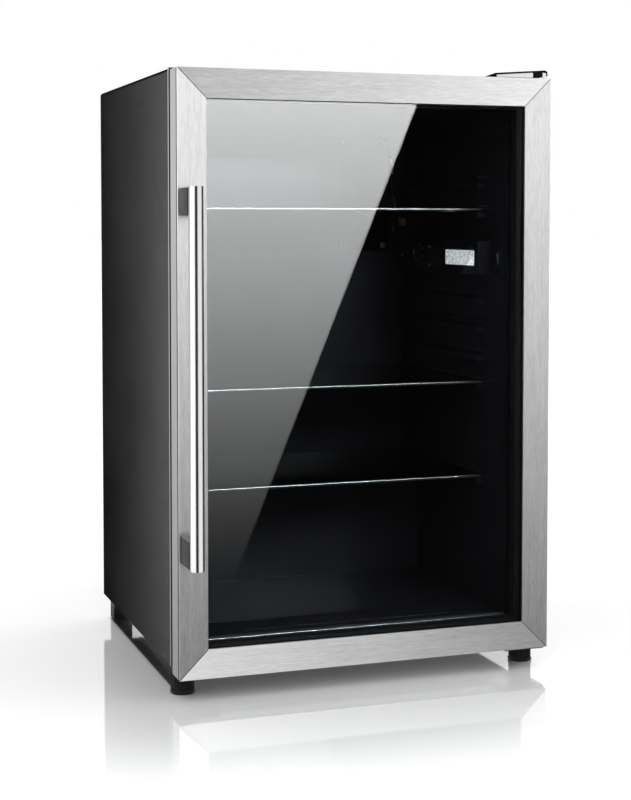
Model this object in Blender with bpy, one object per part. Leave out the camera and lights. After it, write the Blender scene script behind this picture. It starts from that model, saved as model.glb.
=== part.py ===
"""Glass-door mini fridge: a free-standing drinks cooler built as separate named pieces.

Origin at the bottom centre of the overall box, +Z up, the door faces -Y and hangs on the +X side.
Lengths are in metres. A "depth" is measured backwards from the front face of the door.
"""

import math

import bmesh
import bpy
from mathutils import Vector

MM = 0.001

# ---------------------------------------------------------------- driving dimensions
CABINET_WIDTH = 540 * MM
CABINET_HEIGHT = 803 * MM
CABINET_DEPTH = 451 * MM
FOOT_HEIGHT = 38 * MM
SHEET = 1.2 * MM
CORNER_RADIUS = 5 * MM
GAP = 0.3 * MM

SIDE_WALL = 44 * MM
TOP_WALL = 45 * MM
BACK_WALL = 57 * MM
FLOOR_RISE = 35 * MM
LINER = 2 * MM
LINER_RIM = 14 * MM
FRONT_LIP_DROP = 7 * MM
FRONT_RAMP = 76 * MM
RAMP_STEP = 5 * MM
GROOVE_LENGTH = 312 * MM
GROOVE_WIDTH = 4 * MM
GROOVE_CUT = 1 * MM
GROOVE_SETBACK = 40 * MM

BAY_DEPTH = 105 * MM
BAY_TOP = 223 * MM
HUMP_WALL = 20 * MM
HUMP_ROOF = 25 * MM

DOOR_OVERHANG = 8 * MM
DOOR_TOP_DROP = 3 * MM
FACING_WIDTH = 39.5 * MM
FACING_THICKNESS = 3 * MM
BACKING_THICKNESS = 4.4 * MM
BACKING_INSET = 1.5 * MM
CORE_THICKNESS = 30.6 * MM
CORE_WIDTH = 24 * MM
GASKET_SPACE = 7.1 * MM
GASKET_WIDTH = 16 * MM
GASKET_INSET = 12 * MM
PANE = 4 * MM
PANE_SPACING = 8 * MM
SPACER_WIDTH = 8 * MM
INNER_FRAME_WIDTH = 18 * MM

HANDLE_LENGTH = 497 * MM
HANDLE_RADIUS = 9.6 * MM
HANDLE_STANDOFF = 46 * MM
HANDLE_FROM_EDGE = 12.5 * MM
POST_WIDTH = 20 * MM
POST_HEIGHT = 36 * MM

HINGE_DEPTH = 22 * MM
PIN_RADIUS = 4 * MM
PIN_CLEARANCE = 0.25 * MM
PIN_REACH = 18 * MM
PIN_HEAD_RADIUS = 6.5 * MM
PIN_HEAD = 2 * MM
BUSHING_WALL = 3 * MM
BUSHING_COVER = 2.75 * MM
BRACKET = 2 * MM
BRACKET_WIDTH = 62 * MM
BRACKET_LENGTH = 62 * MM
COVER_WIDTH = 84 * MM
COVER_LENGTH = 112 * MM
COVER_LOW = 5.8 * MM
COVER_HIGH = 9.7 * MM
COVER_WALL = 1.6 * MM

FOOT_RADIUS = 16 * MM
FOOT_FLARE = 1.2 * MM
FOOT_FROM_SIDE = 17.3 * MM
FOOT_DEPTH = 52 * MM
FOOT_TRAVEL = 12 * MM
STEM_RADIUS = 4 * MM
STEM_REACH = FOOT_TRAVEL + 10 * MM
REAR_FOOT = 30 * MM
REAR_FOOT_FROM_SIDE = 10 * MM

LOW_SHELF_RISE = 12 * MM
MIDDLE_SHELF_RISE = 140 * MM
HIGH_SHELF_DROP = 139 * MM
LEDGE_PITCH = 42.5 * MM
SHELF_GLASS = 4 * MM
SHELF_TRIM = 4 * MM
SHELF_TRIM_HEIGHT = 5 * MM
SHELF_SETBACK = 77 * MM
SHELF_SIDE_CLEARANCE = 2 * MM
LEDGE_REACH = 9 * MM
LEDGE_HEIGHT = 8 * MM
LEDGE_SLOT = 7 * MM
LEDGE_CAP = 4 * MM

PLATE_WIDTH = 392 * MM
PLATE_HEIGHT = 186 * MM
PLATE_DROP = 20 * MM
PLATE_THICKNESS = 1.6 * MM
PLATE_FROM_WALL = 5 * MM
CHANNEL_WIDTH = 8 * MM
CHANNEL_HEIGHT = 1.5 * MM
CHANNEL_PITCH = 26 * MM
CHANNEL_RUNS = 6

HOUSING_HEIGHT = 50 * MM
HOUSING_REACH = 21 * MM
HOUSING_DROP = 187 * MM
HOUSING_SETBACK = 54 * MM
HOUSING_WALL = 1.8 * MM
LENS_LENGTH = 105 * MM
LENS_HEIGHT = 22 * MM
LENS_SETBACK = 14 * MM
KNOB_FROM_BACK = 119 * MM
KNOB_RADIUS = 13 * MM
KNOB_REACH = 8 * MM
KNOB_SHAFT = 3 * MM
SWITCH_WIDTH = 14 * MM
SWITCH_HEIGHT = 22 * MM
SWITCH_REACH = 5 * MM
SWITCH_DEPTH = 68 * MM
SWITCH_TILT = math.radians(6)

COMPRESSOR_LENGTH = 128 * MM
COMPRESSOR_WIDTH = 92 * MM
COMPRESSOR_HEIGHT = 120 * MM
COMPRESSOR_MARGIN = 14 * MM
BASE_THICKNESS = 2.5 * MM
MOUNT_WIDTH = 14 * MM
MOUNT_INSET = 8 * MM
GROMMET = 10 * MM
STARTER_REACH = 34 * MM
STARTER_WIDTH = 44 * MM
STARTER_LOW = 30 * MM
STARTER_HIGH = 84 * MM
TRAY_HEIGHT = 14 * MM
TRAY_LENGTH = 140 * MM
TRAY_INSET = 4 * MM
TRAY_ABOVE = 6 * MM
DRIER_X = -180 * MM
DRIER_RISE = 40 * MM
DRIER_LENGTH = 90 * MM
DRIER_RADIUS = 8 * MM
DRIER_SHOULDER = 14 * MM
PIPE_RADIUS = 3 * MM
COIL_RADIUS = 2.4 * MM
COIL_RUNS = 4
COIL_MARGIN = 40 * MM
DRAIN_RADIUS = 5 * MM
DRAIN_X = 60 * MM
DRAIN_FROM_WALL = 22 * MM
GLAND_RADIUS = 8 * MM
GLAND_FLANGE = 3 * MM
GLAND_BACK = 12 * MM
GLAND_X = -200 * MM
GLAND_RISE = 39 * MM

# ---------------------------------------------------------------- derived places
DOOR_THICKNESS = FACING_THICKNESS + GAP + BACKING_THICKNESS + GAP + CORE_THICKNESS
FLANGE_DEPTH = DOOR_THICKNESS + GASKET_SPACE
HANDLE_REACH = HANDLE_STANDOFF + HANDLE_RADIUS
OVERALL_DEPTH = HANDLE_REACH + FLANGE_DEPTH + CABINET_DEPTH
DOOR_FRONT_Y = HANDLE_REACH - OVERALL_DEPTH / 2

HALF_WIDTH = CABINET_WIDTH / 2
CABINET_BOTTOM = FOOT_HEIGHT
CABINET_TOP = FOOT_HEIGHT + CABINET_HEIGHT
BACK_DEPTH = FLANGE_DEPTH + CABINET_DEPTH
DOOR_BOTTOM = CABINET_BOTTOM - DOOR_OVERHANG
DOOR_TOP = CABINET_TOP - DOOR_TOP_DROP

LINER_HALF = HALF_WIDTH - SIDE_WALL
LINER_FLOOR = CABINET_BOTTOM + FLOOR_RISE
LINER_CEILING = CABINET_TOP - TOP_WALL
LINER_BACK = BACK_DEPTH - BACK_WALL
LINER_FRONT = FLANGE_DEPTH + SHEET + GAP
BAY_FRONT = BACK_DEPTH - BAY_DEPTH
HUMP_FRONT = BAY_FRONT - HUMP_WALL - LINER
HUMP_TOP = BAY_TOP + HUMP_ROOF + LINER
PAN_TOP = CABINET_BOTTOM + SHEET

BUSHING_RADIUS = PIN_RADIUS + PIN_CLEARANCE + BUSHING_WALL
HINGE_X = HALF_WIDTH - CORE_WIDTH + BUSHING_RADIUS + BUSHING_COVER
CORE_FRONT = DOOR_THICKNESS - CORE_THICKNESS
SHELF_FRONT = FLANGE_DEPTH + SHELF_SETBACK
LOW_SHELF = HUMP_TOP + LOW_SHELF_RISE
MIDDLE_SHELF = LOW_SHELF + MIDDLE_SHELF_RISE
HIGH_SHELF = LINER_CEILING - HIGH_SHELF_DROP
SHELF_TOPS = (LOW_SHELF, MIDDLE_SHELF, HIGH_SHELF)
PLATE_TOP = LINER_CEILING - PLATE_DROP
PLATE_BOTTOM = PLATE_TOP - PLATE_HEIGHT
HOUSING_TOP = LINER_CEILING - HOUSING_DROP
HOUSING_BOTTOM = HOUSING_TOP - HOUSING_HEIGHT
PLATE_DEPTH = LINER_BACK - PLATE_FROM_WALL - PLATE_THICKNESS
SHELF_BACK = PLATE_DEPTH - CHANNEL_HEIGHT - 3 * MM
COMPRESSOR_FLOOR = PAN_TOP + GROMMET + 2 * GAP
TRAY_BOTTOM = COMPRESSOR_FLOOR + 3 * MM + COMPRESSOR_HEIGHT + TRAY_ABOVE
DRAIN_DEPTH = LINER_BACK - DRAIN_FROM_WALL
GLAND_Z = BAY_TOP + GLAND_RISE
FOOT_PLACES = (("left", FOOT_FROM_SIDE - HALF_WIDTH), ("right", HALF_WIDTH - FOOT_FROM_SIDE))
BRACKET_BOTTOM = DOOR_BOTTOM - 1 * MM - BRACKET


def y_at(depth):
    """World Y of a place this far behind the front face of the door."""
    return DOOR_FRONT_Y + depth


# ---------------------------------------------------------------- modelling helpers
def clear_scene():
    """Remove every object, so that the script starts from an empty scene."""
    for obj in list(bpy.data.objects):
        bpy.data.objects.remove(obj)


def finish(name, colour, roughness, metallic=0.0, alpha=1.0):
    """A Principled material with this colour, roughness and metallic value."""
    material = bpy.data.materials.new(name)
    material.use_nodes = True
    shader = material.node_tree.nodes["Principled BSDF"]
    shader.inputs["Base Color"].default_value = (*colour, 1.0)
    shader.inputs["Roughness"].default_value = roughness
    shader.inputs["Metallic"].default_value = metallic
    shader.inputs["Alpha"].default_value = alpha
    return material


def place(obj, origin, parent):
    """Put an object at a world point, under a parent empty when one is given."""
    bpy.context.collection.objects.link(obj)
    obj.location = Vector(origin)
    if parent:
        obj.parent = parent
        obj.location = Vector(origin) - parent.location
    return obj


def solid(name, mesh_builder, material, origin=(0, 0, 0), parent=None, smooth=False):
    """An object from a bmesh drawn in world coordinates, with its origin at the given point."""
    bmesh.ops.recalc_face_normals(mesh_builder, faces=mesh_builder.faces)
    bmesh.ops.translate(mesh_builder, vec=-Vector(origin), verts=mesh_builder.verts)
    mesh = bpy.data.meshes.new(name)
    mesh_builder.to_mesh(mesh)
    mesh_builder.free()
    mesh.materials.append(material)
    if smooth:
        mesh.shade_smooth()
        mesh.set_sharp_from_angle(angle=math.radians(35))
    return place(bpy.data.objects.new(name, mesh), origin, parent)


def add_block(mesh_builder, low, high):
    """Add an axis-aligned box between two corners."""
    size = Vector(high) - Vector(low)
    made = bmesh.ops.create_cube(mesh_builder, size=1.0)
    bmesh.ops.scale(mesh_builder, vec=size, verts=made["verts"])
    bmesh.ops.translate(mesh_builder, vec=(Vector(high) + Vector(low)) / 2, verts=made["verts"])


def block(name, low, high, material, bevel=0.0, **placing):
    """A box between two corners, with its edges rounded by a Bevel modifier when asked."""
    mesh_builder = bmesh.new()
    add_block(mesh_builder, low, high)
    obj = solid(name, mesh_builder, material, **placing)
    if bevel:
        modifier = obj.modifiers.new("edges", "BEVEL")
        modifier.width = bevel
        modifier.segments = 2
    return obj


AXES = {"X": (1, 2, 0), "Y": (0, 2, 1), "Z": (0, 1, 2)}


def add_prism(mesh_builder, axis, outline, start, end):
    """Add an outline in the plane across an axis, extruded along it."""
    first, second, along = AXES[axis]
    points = []
    for u, v in outline:
        point = [0.0, 0.0, 0.0]
        point[first], point[second], point[along] = u, v, start
        points.append(mesh_builder.verts.new(point))
    face = mesh_builder.faces.new(points)
    extruded = bmesh.ops.extrude_face_region(mesh_builder, geom=[face])
    moved = [item for item in extruded["geom"] if isinstance(item, bmesh.types.BMVert)]
    shift = [0.0, 0.0, 0.0]
    shift[along] = end - start
    bmesh.ops.translate(mesh_builder, vec=shift, verts=moved)


def prism(name, axis, outline, start, end, material, **placing):
    """A solid with one outline all the way along an axis."""
    mesh_builder = bmesh.new()
    add_prism(mesh_builder, axis, outline, start, end)
    return solid(name, mesh_builder, material, **placing)


def turned(name, profile, centre, axis, material, steps=24, **placing):
    """A solid of revolution. The profile is (radius, distance along the axis), top to bottom."""
    direction = {"X": Vector((1, 0, 0)), "Y": Vector((0, 1, 0)), "Z": Vector((0, 0, 1))}[axis]
    across = Vector((0, 1, 0)) if axis == "X" else Vector((1, 0, 0))
    mesh_builder = bmesh.new()
    ring = [mesh_builder.verts.new(Vector(centre) + across * r + direction * h) for r, h in profile]
    edges = [mesh_builder.edges.new(pair) for pair in zip(ring, ring[1:])]
    if all(r > 0 for r, _ in profile):
        edges.append(mesh_builder.edges.new((ring[-1], ring[0])))
    bmesh.ops.spin(
        mesh_builder, geom=ring + edges, cent=centre, axis=direction, angle=math.tau, steps=steps,
        use_merge=True,
    )
    bmesh.ops.remove_doubles(mesh_builder, verts=mesh_builder.verts, dist=1e-6)
    return solid(name, mesh_builder, material, smooth=True, **placing)


def rod(name, radius, start, end, axis, centre, material, steps=24, **placing):
    """A plain round bar from start to end along an axis; centre gives the other two places."""
    profile = [(0, end), (radius, end), (radius, start), (0, start)]
    return turned(name, profile, centre, axis, material, steps, **placing)


def cut(target, cutter, operation="DIFFERENCE"):
    """Take a helper's shape out of a piece, or join it on, with a Boolean modifier."""
    cutter.hide_render = True
    cutter.display_type = "WIRE"
    modifier = target.modifiers.new(cutter.name, "BOOLEAN")
    modifier.operation = operation
    modifier.object = cutter


def smooth_route(points, per_span=4):
    """Points along a smooth curve through a route's own points."""
    route = [Vector(p) for p in points]
    ends = [route[0] * 2 - route[1], *route, route[-1] * 2 - route[-2]]
    curve = []
    for a, b, c, d in zip(ends, ends[1:], ends[2:], ends[3:]):
        for step in range(per_span):
            t = step / per_span
            bend = (a * -1 + b * 3 - c * 3 + d) * t**3 + (a * 2 - b * 5 + c * 4 - d) * t**2
            curve.append((bend + (c - a) * t + b * 2) / 2)
    return [*curve, route[-1]]


def tube(name, points, radius, material, **placing):
    """A round pipe with closed ends along a list of points."""
    curve = bpy.data.curves.new(name, "CURVE")
    curve.dimensions = "3D"
    curve.bevel_depth = radius
    curve.bevel_resolution = 2
    curve.use_fill_caps = True
    spline = curve.splines.new("POLY")
    spline.points.add(len(points) - 1)
    for slot, point in zip(spline.points, points):
        slot.co = (*point, 1.0)
    curve.materials.append(material)
    return place(bpy.data.objects.new(name, curve), placing.get("origin", (0, 0, 0)), None)


def arc(centre, radius, start, end, steps):
    """Points along an arc, angles in degrees."""
    angles = [math.radians(start + (end - start) * i / steps) for i in range(steps + 1)]
    return [(centre[0] + radius * math.cos(a), centre[1] + radius * math.sin(a)) for a in angles]


def ring(name, half, low, high, width, depth_front, depth_back, material, **placing):
    """A rectangular frame seen from the front, all members of one width."""
    obj = block(name, (-half, y_at(depth_front), low), (half, y_at(depth_back), high), material, **placing)
    inside = block(
        name + "_opening",
        (-half + width, y_at(depth_front) - 10 * MM, low + width),
        (half - width, y_at(depth_back) + 10 * MM, high - width),
        material,
        **placing,
    )
    cut(obj, inside)
    return obj


# ---------------------------------------------------------------- finishes
def make_finishes():
    """Every material in the model, by the name that the pieces use."""
    return {
        "black_paint": finish("black_paint", (0.018, 0.018, 0.02), 0.38),
        "stainless": finish("stainless", (0.62, 0.62, 0.63), 0.3, 1.0),
        "silver": finish("silver", (0.55, 0.56, 0.57), 0.35, 1.0),
        "zinc": finish("zinc", (0.6, 0.6, 0.58), 0.4, 1.0),
        "aluminium": finish("aluminium", (0.72, 0.73, 0.74), 0.35, 1.0),
        "copper": finish("copper", (0.72, 0.36, 0.22), 0.3, 1.0),
        "black_liner": finish("black_liner", (0.012, 0.012, 0.013), 0.18),
        "black_plastic": finish("black_plastic", (0.02, 0.02, 0.022), 0.45),
        "grey_plastic": finish("grey_plastic", (0.25, 0.26, 0.27), 0.4),
        "white_plastic": finish("white_plastic", (0.8, 0.8, 0.78), 0.4),
        "foam": finish("foam", (0.85, 0.78, 0.55), 0.9),
        "rubber": finish("rubber", (0.02, 0.02, 0.02), 0.7),
        "clear_glass": finish("clear_glass", (0.9, 0.95, 0.95), 0.03, alpha=0.25),
        "dark_glass": finish("dark_glass", (0.03, 0.03, 0.035), 0.05, alpha=0.8),
        "lens": finish("lens", (0.9, 0.92, 0.95), 0.3, alpha=0.6),
        "board": finish("board", (0.05, 0.25, 0.12), 0.5),
    }


# ---------------------------------------------------------------- cabinet
def shell_outline(inset, bottom=CABINET_BOTTOM, left_space=0.0):
    """The inverted U of the wrapped sheet, seen from the front, this far inside its outer face."""
    half = HALF_WIDTH - inset
    top = CABINET_TOP - inset
    radius = max(CORNER_RADIUS - inset, 1 * MM)
    right = arc((half - radius, top - radius), radius, 0, 90, 4)
    left = arc((radius + left_space - half, top - radius), radius, 90, 180, 4)
    return [(half, bottom), *right, *left, (left_space - half, bottom)]


def build_shell(finishes):
    """Painted steel wrapper, front frame, rear panel and base pan."""
    paint = finishes["black_paint"]
    outline = shell_outline(0) + shell_outline(SHEET)[::-1]
    prism("outer_shell", "Y", outline, y_at(FLANGE_DEPTH), y_at(BACK_DEPTH), paint)

    inside = HALF_WIDTH - SHEET - GAP
    lining = shell_outline(SHEET + GAP, PAN_TOP + GAP)
    frame = prism("front_frame", "Y", lining, y_at(FLANGE_DEPTH), y_at(FLANGE_DEPTH + SHEET), paint)
    window = block(
        "front_frame_opening",
        (-LINER_HALF, y_at(FLANGE_DEPTH) - 10 * MM, LINER_FLOOR - FRONT_LIP_DROP),
        (LINER_HALF, y_at(FLANGE_DEPTH) + 10 * MM, LINER_CEILING),
        paint,
    )
    cut(frame, window)

    back = y_at(BACK_DEPTH)
    above_bay = shell_outline(SHEET + GAP, BAY_TOP + GAP)
    rear = prism("rear_panel", "Y", above_bay, back - SHEET, back, paint)
    gland_hole = rod(
        "gland_hole", GLAND_RADIUS + GAP, -10 * MM, 10 * MM, "Y", (GLAND_X, back, GLAND_Z), paint,
    )
    cut(rear, gland_hole)
    pan = block("base_pan", (-inside, y_at(FLANGE_DEPTH), CABINET_BOTTOM), (inside, back, PAN_TOP), paint)
    for side, x in FOOT_PLACES:
        hole = rod(
            "pan_hole_" + side, STEM_RADIUS + PIN_CLEARANCE, -10 * MM, 10 * MM, "Z",
            (x, y_at(FOOT_DEPTH), CABINET_BOTTOM), paint,
        )
        cut(pan, hole)

    shroud = [
        (y_at(BAY_FRONT) - SHEET, PAN_TOP + GAP),
        (y_at(BAY_FRONT), PAN_TOP + GAP),
        (y_at(BAY_FRONT), BAY_TOP - SHEET),
        (back, BAY_TOP - SHEET),
        (back, BAY_TOP),
        (y_at(BAY_FRONT) - SHEET, BAY_TOP),
    ]
    bay = prism("bay_shroud", "X", shroud, -inside, inside, finishes["zinc"])
    cut(bay, drain_hole("shroud_drain_hole"))


def liner_profile(grow, forward=0.0):
    """Side view of the liner's hollow, grown by a wall thickness and run on past its front."""
    front = y_at(LINER_FRONT) - forward
    ramp_end = y_at(FLANGE_DEPTH + FRONT_RAMP)
    slope = (FRONT_LIP_DROP - LINER) / (FLANGE_DEPTH + FRONT_RAMP - RAMP_STEP - LINER_FRONT)
    return [
        (front, LINER_FLOOR - FRONT_LIP_DROP - slope * forward - grow),
        (ramp_end - RAMP_STEP, LINER_FLOOR - LINER - grow),
        (ramp_end, LINER_FLOOR - grow),
        (y_at(HUMP_FRONT) + grow, LINER_FLOOR - grow),
        (y_at(HUMP_FRONT) + grow, HUMP_TOP - grow),
        (y_at(LINER_BACK) + grow, HUMP_TOP - grow),
        (y_at(LINER_BACK) + grow, LINER_CEILING + grow),
        (front, LINER_CEILING + grow),
    ]


def ledge_levels(on_right):
    """Heights of the shelf tops that the side wall has ledges for."""
    spare_count = int((HIGH_SHELF - MIDDLE_SHELF) / LEDGE_PITCH)
    spare = [MIDDLE_SHELF + step * LEDGE_PITCH for step in range(1, spare_count)]
    for level in (*SHELF_TOPS, *spare, HIGH_SHELF + LEDGE_PITCH):
        low = level - SHELF_GLASS - LEDGE_HEIGHT
        if on_right and low < HOUSING_TOP + LEDGE_HEIGHT and level + LEDGE_HEIGHT > HOUSING_BOTTOM:
            continue
        yield level


def build_liner(finishes):
    """Moulded tub with a front rim, a hump over the compressor and ledges for the shelves."""
    liner_finish = finishes["black_liner"]
    tub = prism(
        "inner_liner", "X", liner_profile(LINER), -LINER_HALF - LINER, LINER_HALF + LINER, liner_finish,
    )
    rim_front, rim_back = y_at(LINER_FRONT), y_at(LINER_FRONT) + LINER
    rim_low = LINER_FLOOR - FRONT_LIP_DROP - LINER_RIM
    rim_high = LINER_CEILING + LINER_RIM
    rim_half = LINER_HALF + LINER_RIM
    rim = block("liner_rim", (-rim_half, rim_front, rim_low), (rim_half, rim_back, rim_high), liner_finish)
    cut(tub, rim, "UNION")

    hollow = liner_profile(0, 10 * MM)
    cut(tub, prism("liner_hollow", "X", hollow, -LINER_HALF, LINER_HALF, liner_finish))

    ledges = bmesh.new()
    ledge_front = y_at(SHELF_FRONT + SHELF_TRIM + GAP)
    ledge_back = y_at(SHELF_BACK)
    for sign in (-1, 1):
        wall = sign * (LINER_HALF + LINER / 2)
        tip = sign * (LINER_HALF - LEDGE_REACH)
        for level in ledge_levels(sign > 0):
            under = level - (LEDGE_SLOT + SHELF_GLASS) / 2
            for low, high in ((under - LEDGE_HEIGHT, under), (under + LEDGE_SLOT, under + LEDGE_SLOT + LEDGE_CAP)):
                left, right = min(wall, tip), max(wall, tip)
                add_block(ledges, (left, ledge_front, low), (right, ledge_back, high))
    cut(tub, solid("liner_ledges", ledges, liner_finish), "UNION")

    groove_y = y_at(FLANGE_DEPTH + GROOVE_SETBACK)
    half_run = GROOVE_LENGTH / 2 - GROOVE_WIDTH / 2
    right_end = arc((half_run, groove_y), GROOVE_WIDTH / 2, -90, 90, 6)
    left_end = arc((-half_run, groove_y), GROOVE_WIDTH / 2, 90, 270, 6)
    drop = FRONT_LIP_DROP - (FRONT_LIP_DROP - LINER) * GROOVE_SETBACK / (FRONT_RAMP - RAMP_STEP)
    groove_floor = LINER_FLOOR - drop - GROOVE_CUT
    cut(tub, prism("floor_groove", "Z", right_end + left_end, groove_floor, LINER_FLOOR, liner_finish))
    cut(tub, drain_hole("liner_drain_hole"))


def build_insulation(finishes):
    """Foam that fills the space between the wrapper and the liner."""
    coil_space = 2 * COIL_RADIUS + 2 * GAP
    front, back = y_at(LINER_FRONT) + LINER + GAP, y_at(BACK_DEPTH) - SHEET - GAP
    outline = shell_outline(SHEET + GAP, PAN_TOP + GAP, coil_space)
    foam = prism("insulation_foam", "Y", outline, front, back, finishes["foam"])
    grow = LINER + GAP
    pocket = liner_profile(grow, 10 * MM)
    reach = LINER_HALF + grow
    cut(foam, prism("liner_pocket", "X", pocket, -reach, reach, finishes["foam"]))
    bay_low = (-HALF_WIDTH, y_at(BAY_FRONT) - SHEET - GAP, CABINET_BOTTOM)
    bay_high = (HALF_WIDTH, y_at(BACK_DEPTH) + 10 * MM, BAY_TOP + GAP)
    cut(foam, block("bay_space", bay_low, bay_high, finishes["foam"]))
    for side_name, x in FOOT_PLACES:
        stem_space = rod(
            "stem_space_" + side_name, STEM_RADIUS + 1 * MM, -10 * MM, STEM_REACH + 2 * MM, "Z",
            (x, y_at(FOOT_DEPTH), PAN_TOP), finishes["foam"],
        )
        cut(foam, stem_space)
    cut(foam, drain_hole("foam_drain_hole"))
    gland_space = rod(
        "gland_space", GLAND_RADIUS + GLAND_FLANGE + GAP, -GLAND_BACK - 1 * MM, 10 * MM, "Y",
        (GLAND_X, y_at(BACK_DEPTH), GLAND_Z), finishes["foam"],
    )
    cut(foam, gland_space)


# ---------------------------------------------------------------- cooling
def drain_hole(name):
    """A cutter for the hole that the drain tube passes through."""
    centre = (DRAIN_X, y_at(DRAIN_DEPTH), 0)
    return rod(name, DRAIN_RADIUS + GAP, BAY_TOP - 20 * MM, HUMP_TOP + 5 * MM, "Z", centre, None)


def channel_ridges():
    """The raised refrigerant channels on the front of the plate, drawn as bars with round ends."""
    ridges = bmesh.new()
    back = y_at(PLATE_DEPTH) + PLATE_THICKNESS / 2
    front = y_at(PLATE_DEPTH) - CHANNEL_HEIGHT
    half = CHANNEL_WIDTH / 2
    left = CHANNEL_PITCH / 2 - PLATE_WIDTH / 2
    turn_x = PLATE_WIDTH * 0.22
    top_run = PLATE_TOP - CHANNEL_PITCH / 2
    for run in range(CHANNEL_RUNS):
        z = top_run - run * CHANNEL_PITCH
        outline = arc((turn_x, z), half, -90, 90, 5) + arc((left, z), half, 90, 270, 5)
        add_prism(ridges, "Y", outline, front, back)
    low_z, high_z = top_run - (CHANNEL_RUNS - 1) * CHANNEL_PITCH, top_run
    for step in (1, 2):
        x = turn_x + step * CHANNEL_PITCH * 1.2
        outline = arc((x, low_z), half, 180, 360, 5) + arc((x, high_z), half, 0, 180, 5)
        add_prism(ridges, "Y", outline, front, back)
    return ridges


def build_evaporator(finishes):
    """Roll-bond cooling plate on the back wall, with its capillary tube and the drain below it."""
    front = y_at(PLATE_DEPTH)
    plate = block(
        "evaporator_plate", (-PLATE_WIDTH / 2, front, PLATE_BOTTOM),
        (PLATE_WIDTH / 2, front + PLATE_THICKNESS, PLATE_TOP), finishes["aluminium"],
    )
    cut(plate, solid("plate_channels", channel_ridges(), finishes["aluminium"]), "UNION")

    edge = PLATE_WIDTH / 2
    y = front + PLATE_THICKNESS / 2
    route = [
        (edge + 2 * MM, y, PLATE_TOP - 30 * MM),
        (edge + 9 * MM, y, PLATE_TOP - 50 * MM),
        (edge + 6 * MM, y, PLATE_TOP - 80 * MM),
        (edge + 12 * MM, y, PLATE_TOP - 110 * MM),
        (edge + 10 * MM, y, HOUSING_TOP + 12 * MM),
    ]
    tube("capillary_tube", smooth_route(route), 1.5 * MM, finishes["copper"])

    tray_top = TRAY_BOTTOM + TRAY_HEIGHT
    bore = DRAIN_RADIUS - 1.2 * MM
    foot_z, head_z = tray_top - 6 * MM, HUMP_TOP - LINER / 2
    profile = [(bore, head_z), (DRAIN_RADIUS, head_z), (DRAIN_RADIUS, foot_z), (bore, foot_z)]
    turned("drain_tube", profile, (DRAIN_X, y_at(DRAIN_DEPTH), 0), "Z", finishes["grey_plastic"], 16)


def build_compressor(finishes):
    """Compressor on its rubber-mounted base, starter box, drier, pipes and condensate tray."""
    centre_y = y_at(BAY_FRONT) + BAY_DEPTH / 2
    centre = Vector((DRAIN_X, centre_y, 0))
    half_length, half_width = COMPRESSOR_LENGTH / 2, COMPRESSOR_WIDTH / 2
    base_half = half_length + COMPRESSOR_MARGIN
    plate_low = (centre.x - base_half, centre_y - half_width, COMPRESSOR_FLOOR)
    plate_high = (centre.x + base_half, centre_y + half_width, COMPRESSOR_FLOOR + BASE_THICKNESS)
    block("compressor_base", plate_low, plate_high, finishes["zinc"])
    for side, x in (("left", plate_low[0] + MOUNT_INSET), ("right", plate_high[0] - MOUNT_INSET)):
        low = (x - MOUNT_WIDTH / 2, centre_y - half_width + 4 * MM, PAN_TOP + GAP)
        high = (x + MOUNT_WIDTH / 2, centre_y + half_width - 4 * MM, COMPRESSOR_FLOOR - GAP)
        block("compressor_mount_" + side, low, high, finishes["rubber"], bevel=2 * MM)

    floor = COMPRESSOR_FLOOR + BASE_THICKNESS + GAP
    top = floor + COMPRESSOR_HEIGHT
    seam = floor + COMPRESSOR_HEIGHT * 0.55
    profile = [
        (0, top), (0.35, top - 2 * MM), (0.68, top - 10 * MM), (0.88, top - 26 * MM), (0.94, seam + 6 * MM),
        (0.94, seam + 3 * MM), (1.0, seam + 3 * MM), (1.0, seam), (0.93, seam), (0.9, floor + 14 * MM),
        (0.72, floor + 2 * MM), (0.5, floor), (0, floor),
    ]
    profile = [(share * half_width, z) for share, z in profile]
    shell = turned("compressor_shell", profile, centre, "Z", finishes["black_paint"], 32, origin=centre)
    for vertex in shell.data.vertices:
        vertex.co.x *= half_length / half_width

    box_x = centre.x - half_length
    block(
        "starter_box", (box_x - STARTER_REACH, centre_y - STARTER_WIDTH / 2, floor + STARTER_LOW),
        (box_x - GAP, centre_y + STARTER_WIDTH / 2, floor + STARTER_HIGH), finishes["black_plastic"],
        bevel=3 * MM,
    )
    tray_half = half_width - TRAY_INSET
    low = (centre.x - TRAY_LENGTH / 2, centre_y - tray_half, TRAY_BOTTOM)
    high = (centre.x + TRAY_LENGTH / 2, centre_y + tray_half, TRAY_BOTTOM + TRAY_HEIGHT)
    tray = block("condensate_tray", low, high, finishes["black_plastic"])
    wall = Vector((LINER, LINER, LINER))
    scoop_high = (high[0] - LINER, high[1] - LINER, high[2] + 10 * MM)
    cut(tray, block("tray_hollow", Vector(low) + wall, scoop_high, finishes["black_plastic"]))

    drier_low = PAN_TOP + DRIER_RISE
    drier_high = drier_low + DRIER_LENGTH
    profile = [
        (0, drier_high), (PIPE_RADIUS, drier_high), (DRIER_RADIUS, drier_high - DRIER_SHOULDER),
        (DRIER_RADIUS, drier_low + DRIER_SHOULDER), (PIPE_RADIUS, drier_low), (0, drier_low),
    ]
    turned("filter_drier", profile, (DRIER_X, centre_y, 0), "Z", finishes["copper"], 16)
    build_pipes(finishes, centre, floor, (drier_low, drier_high))


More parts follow.
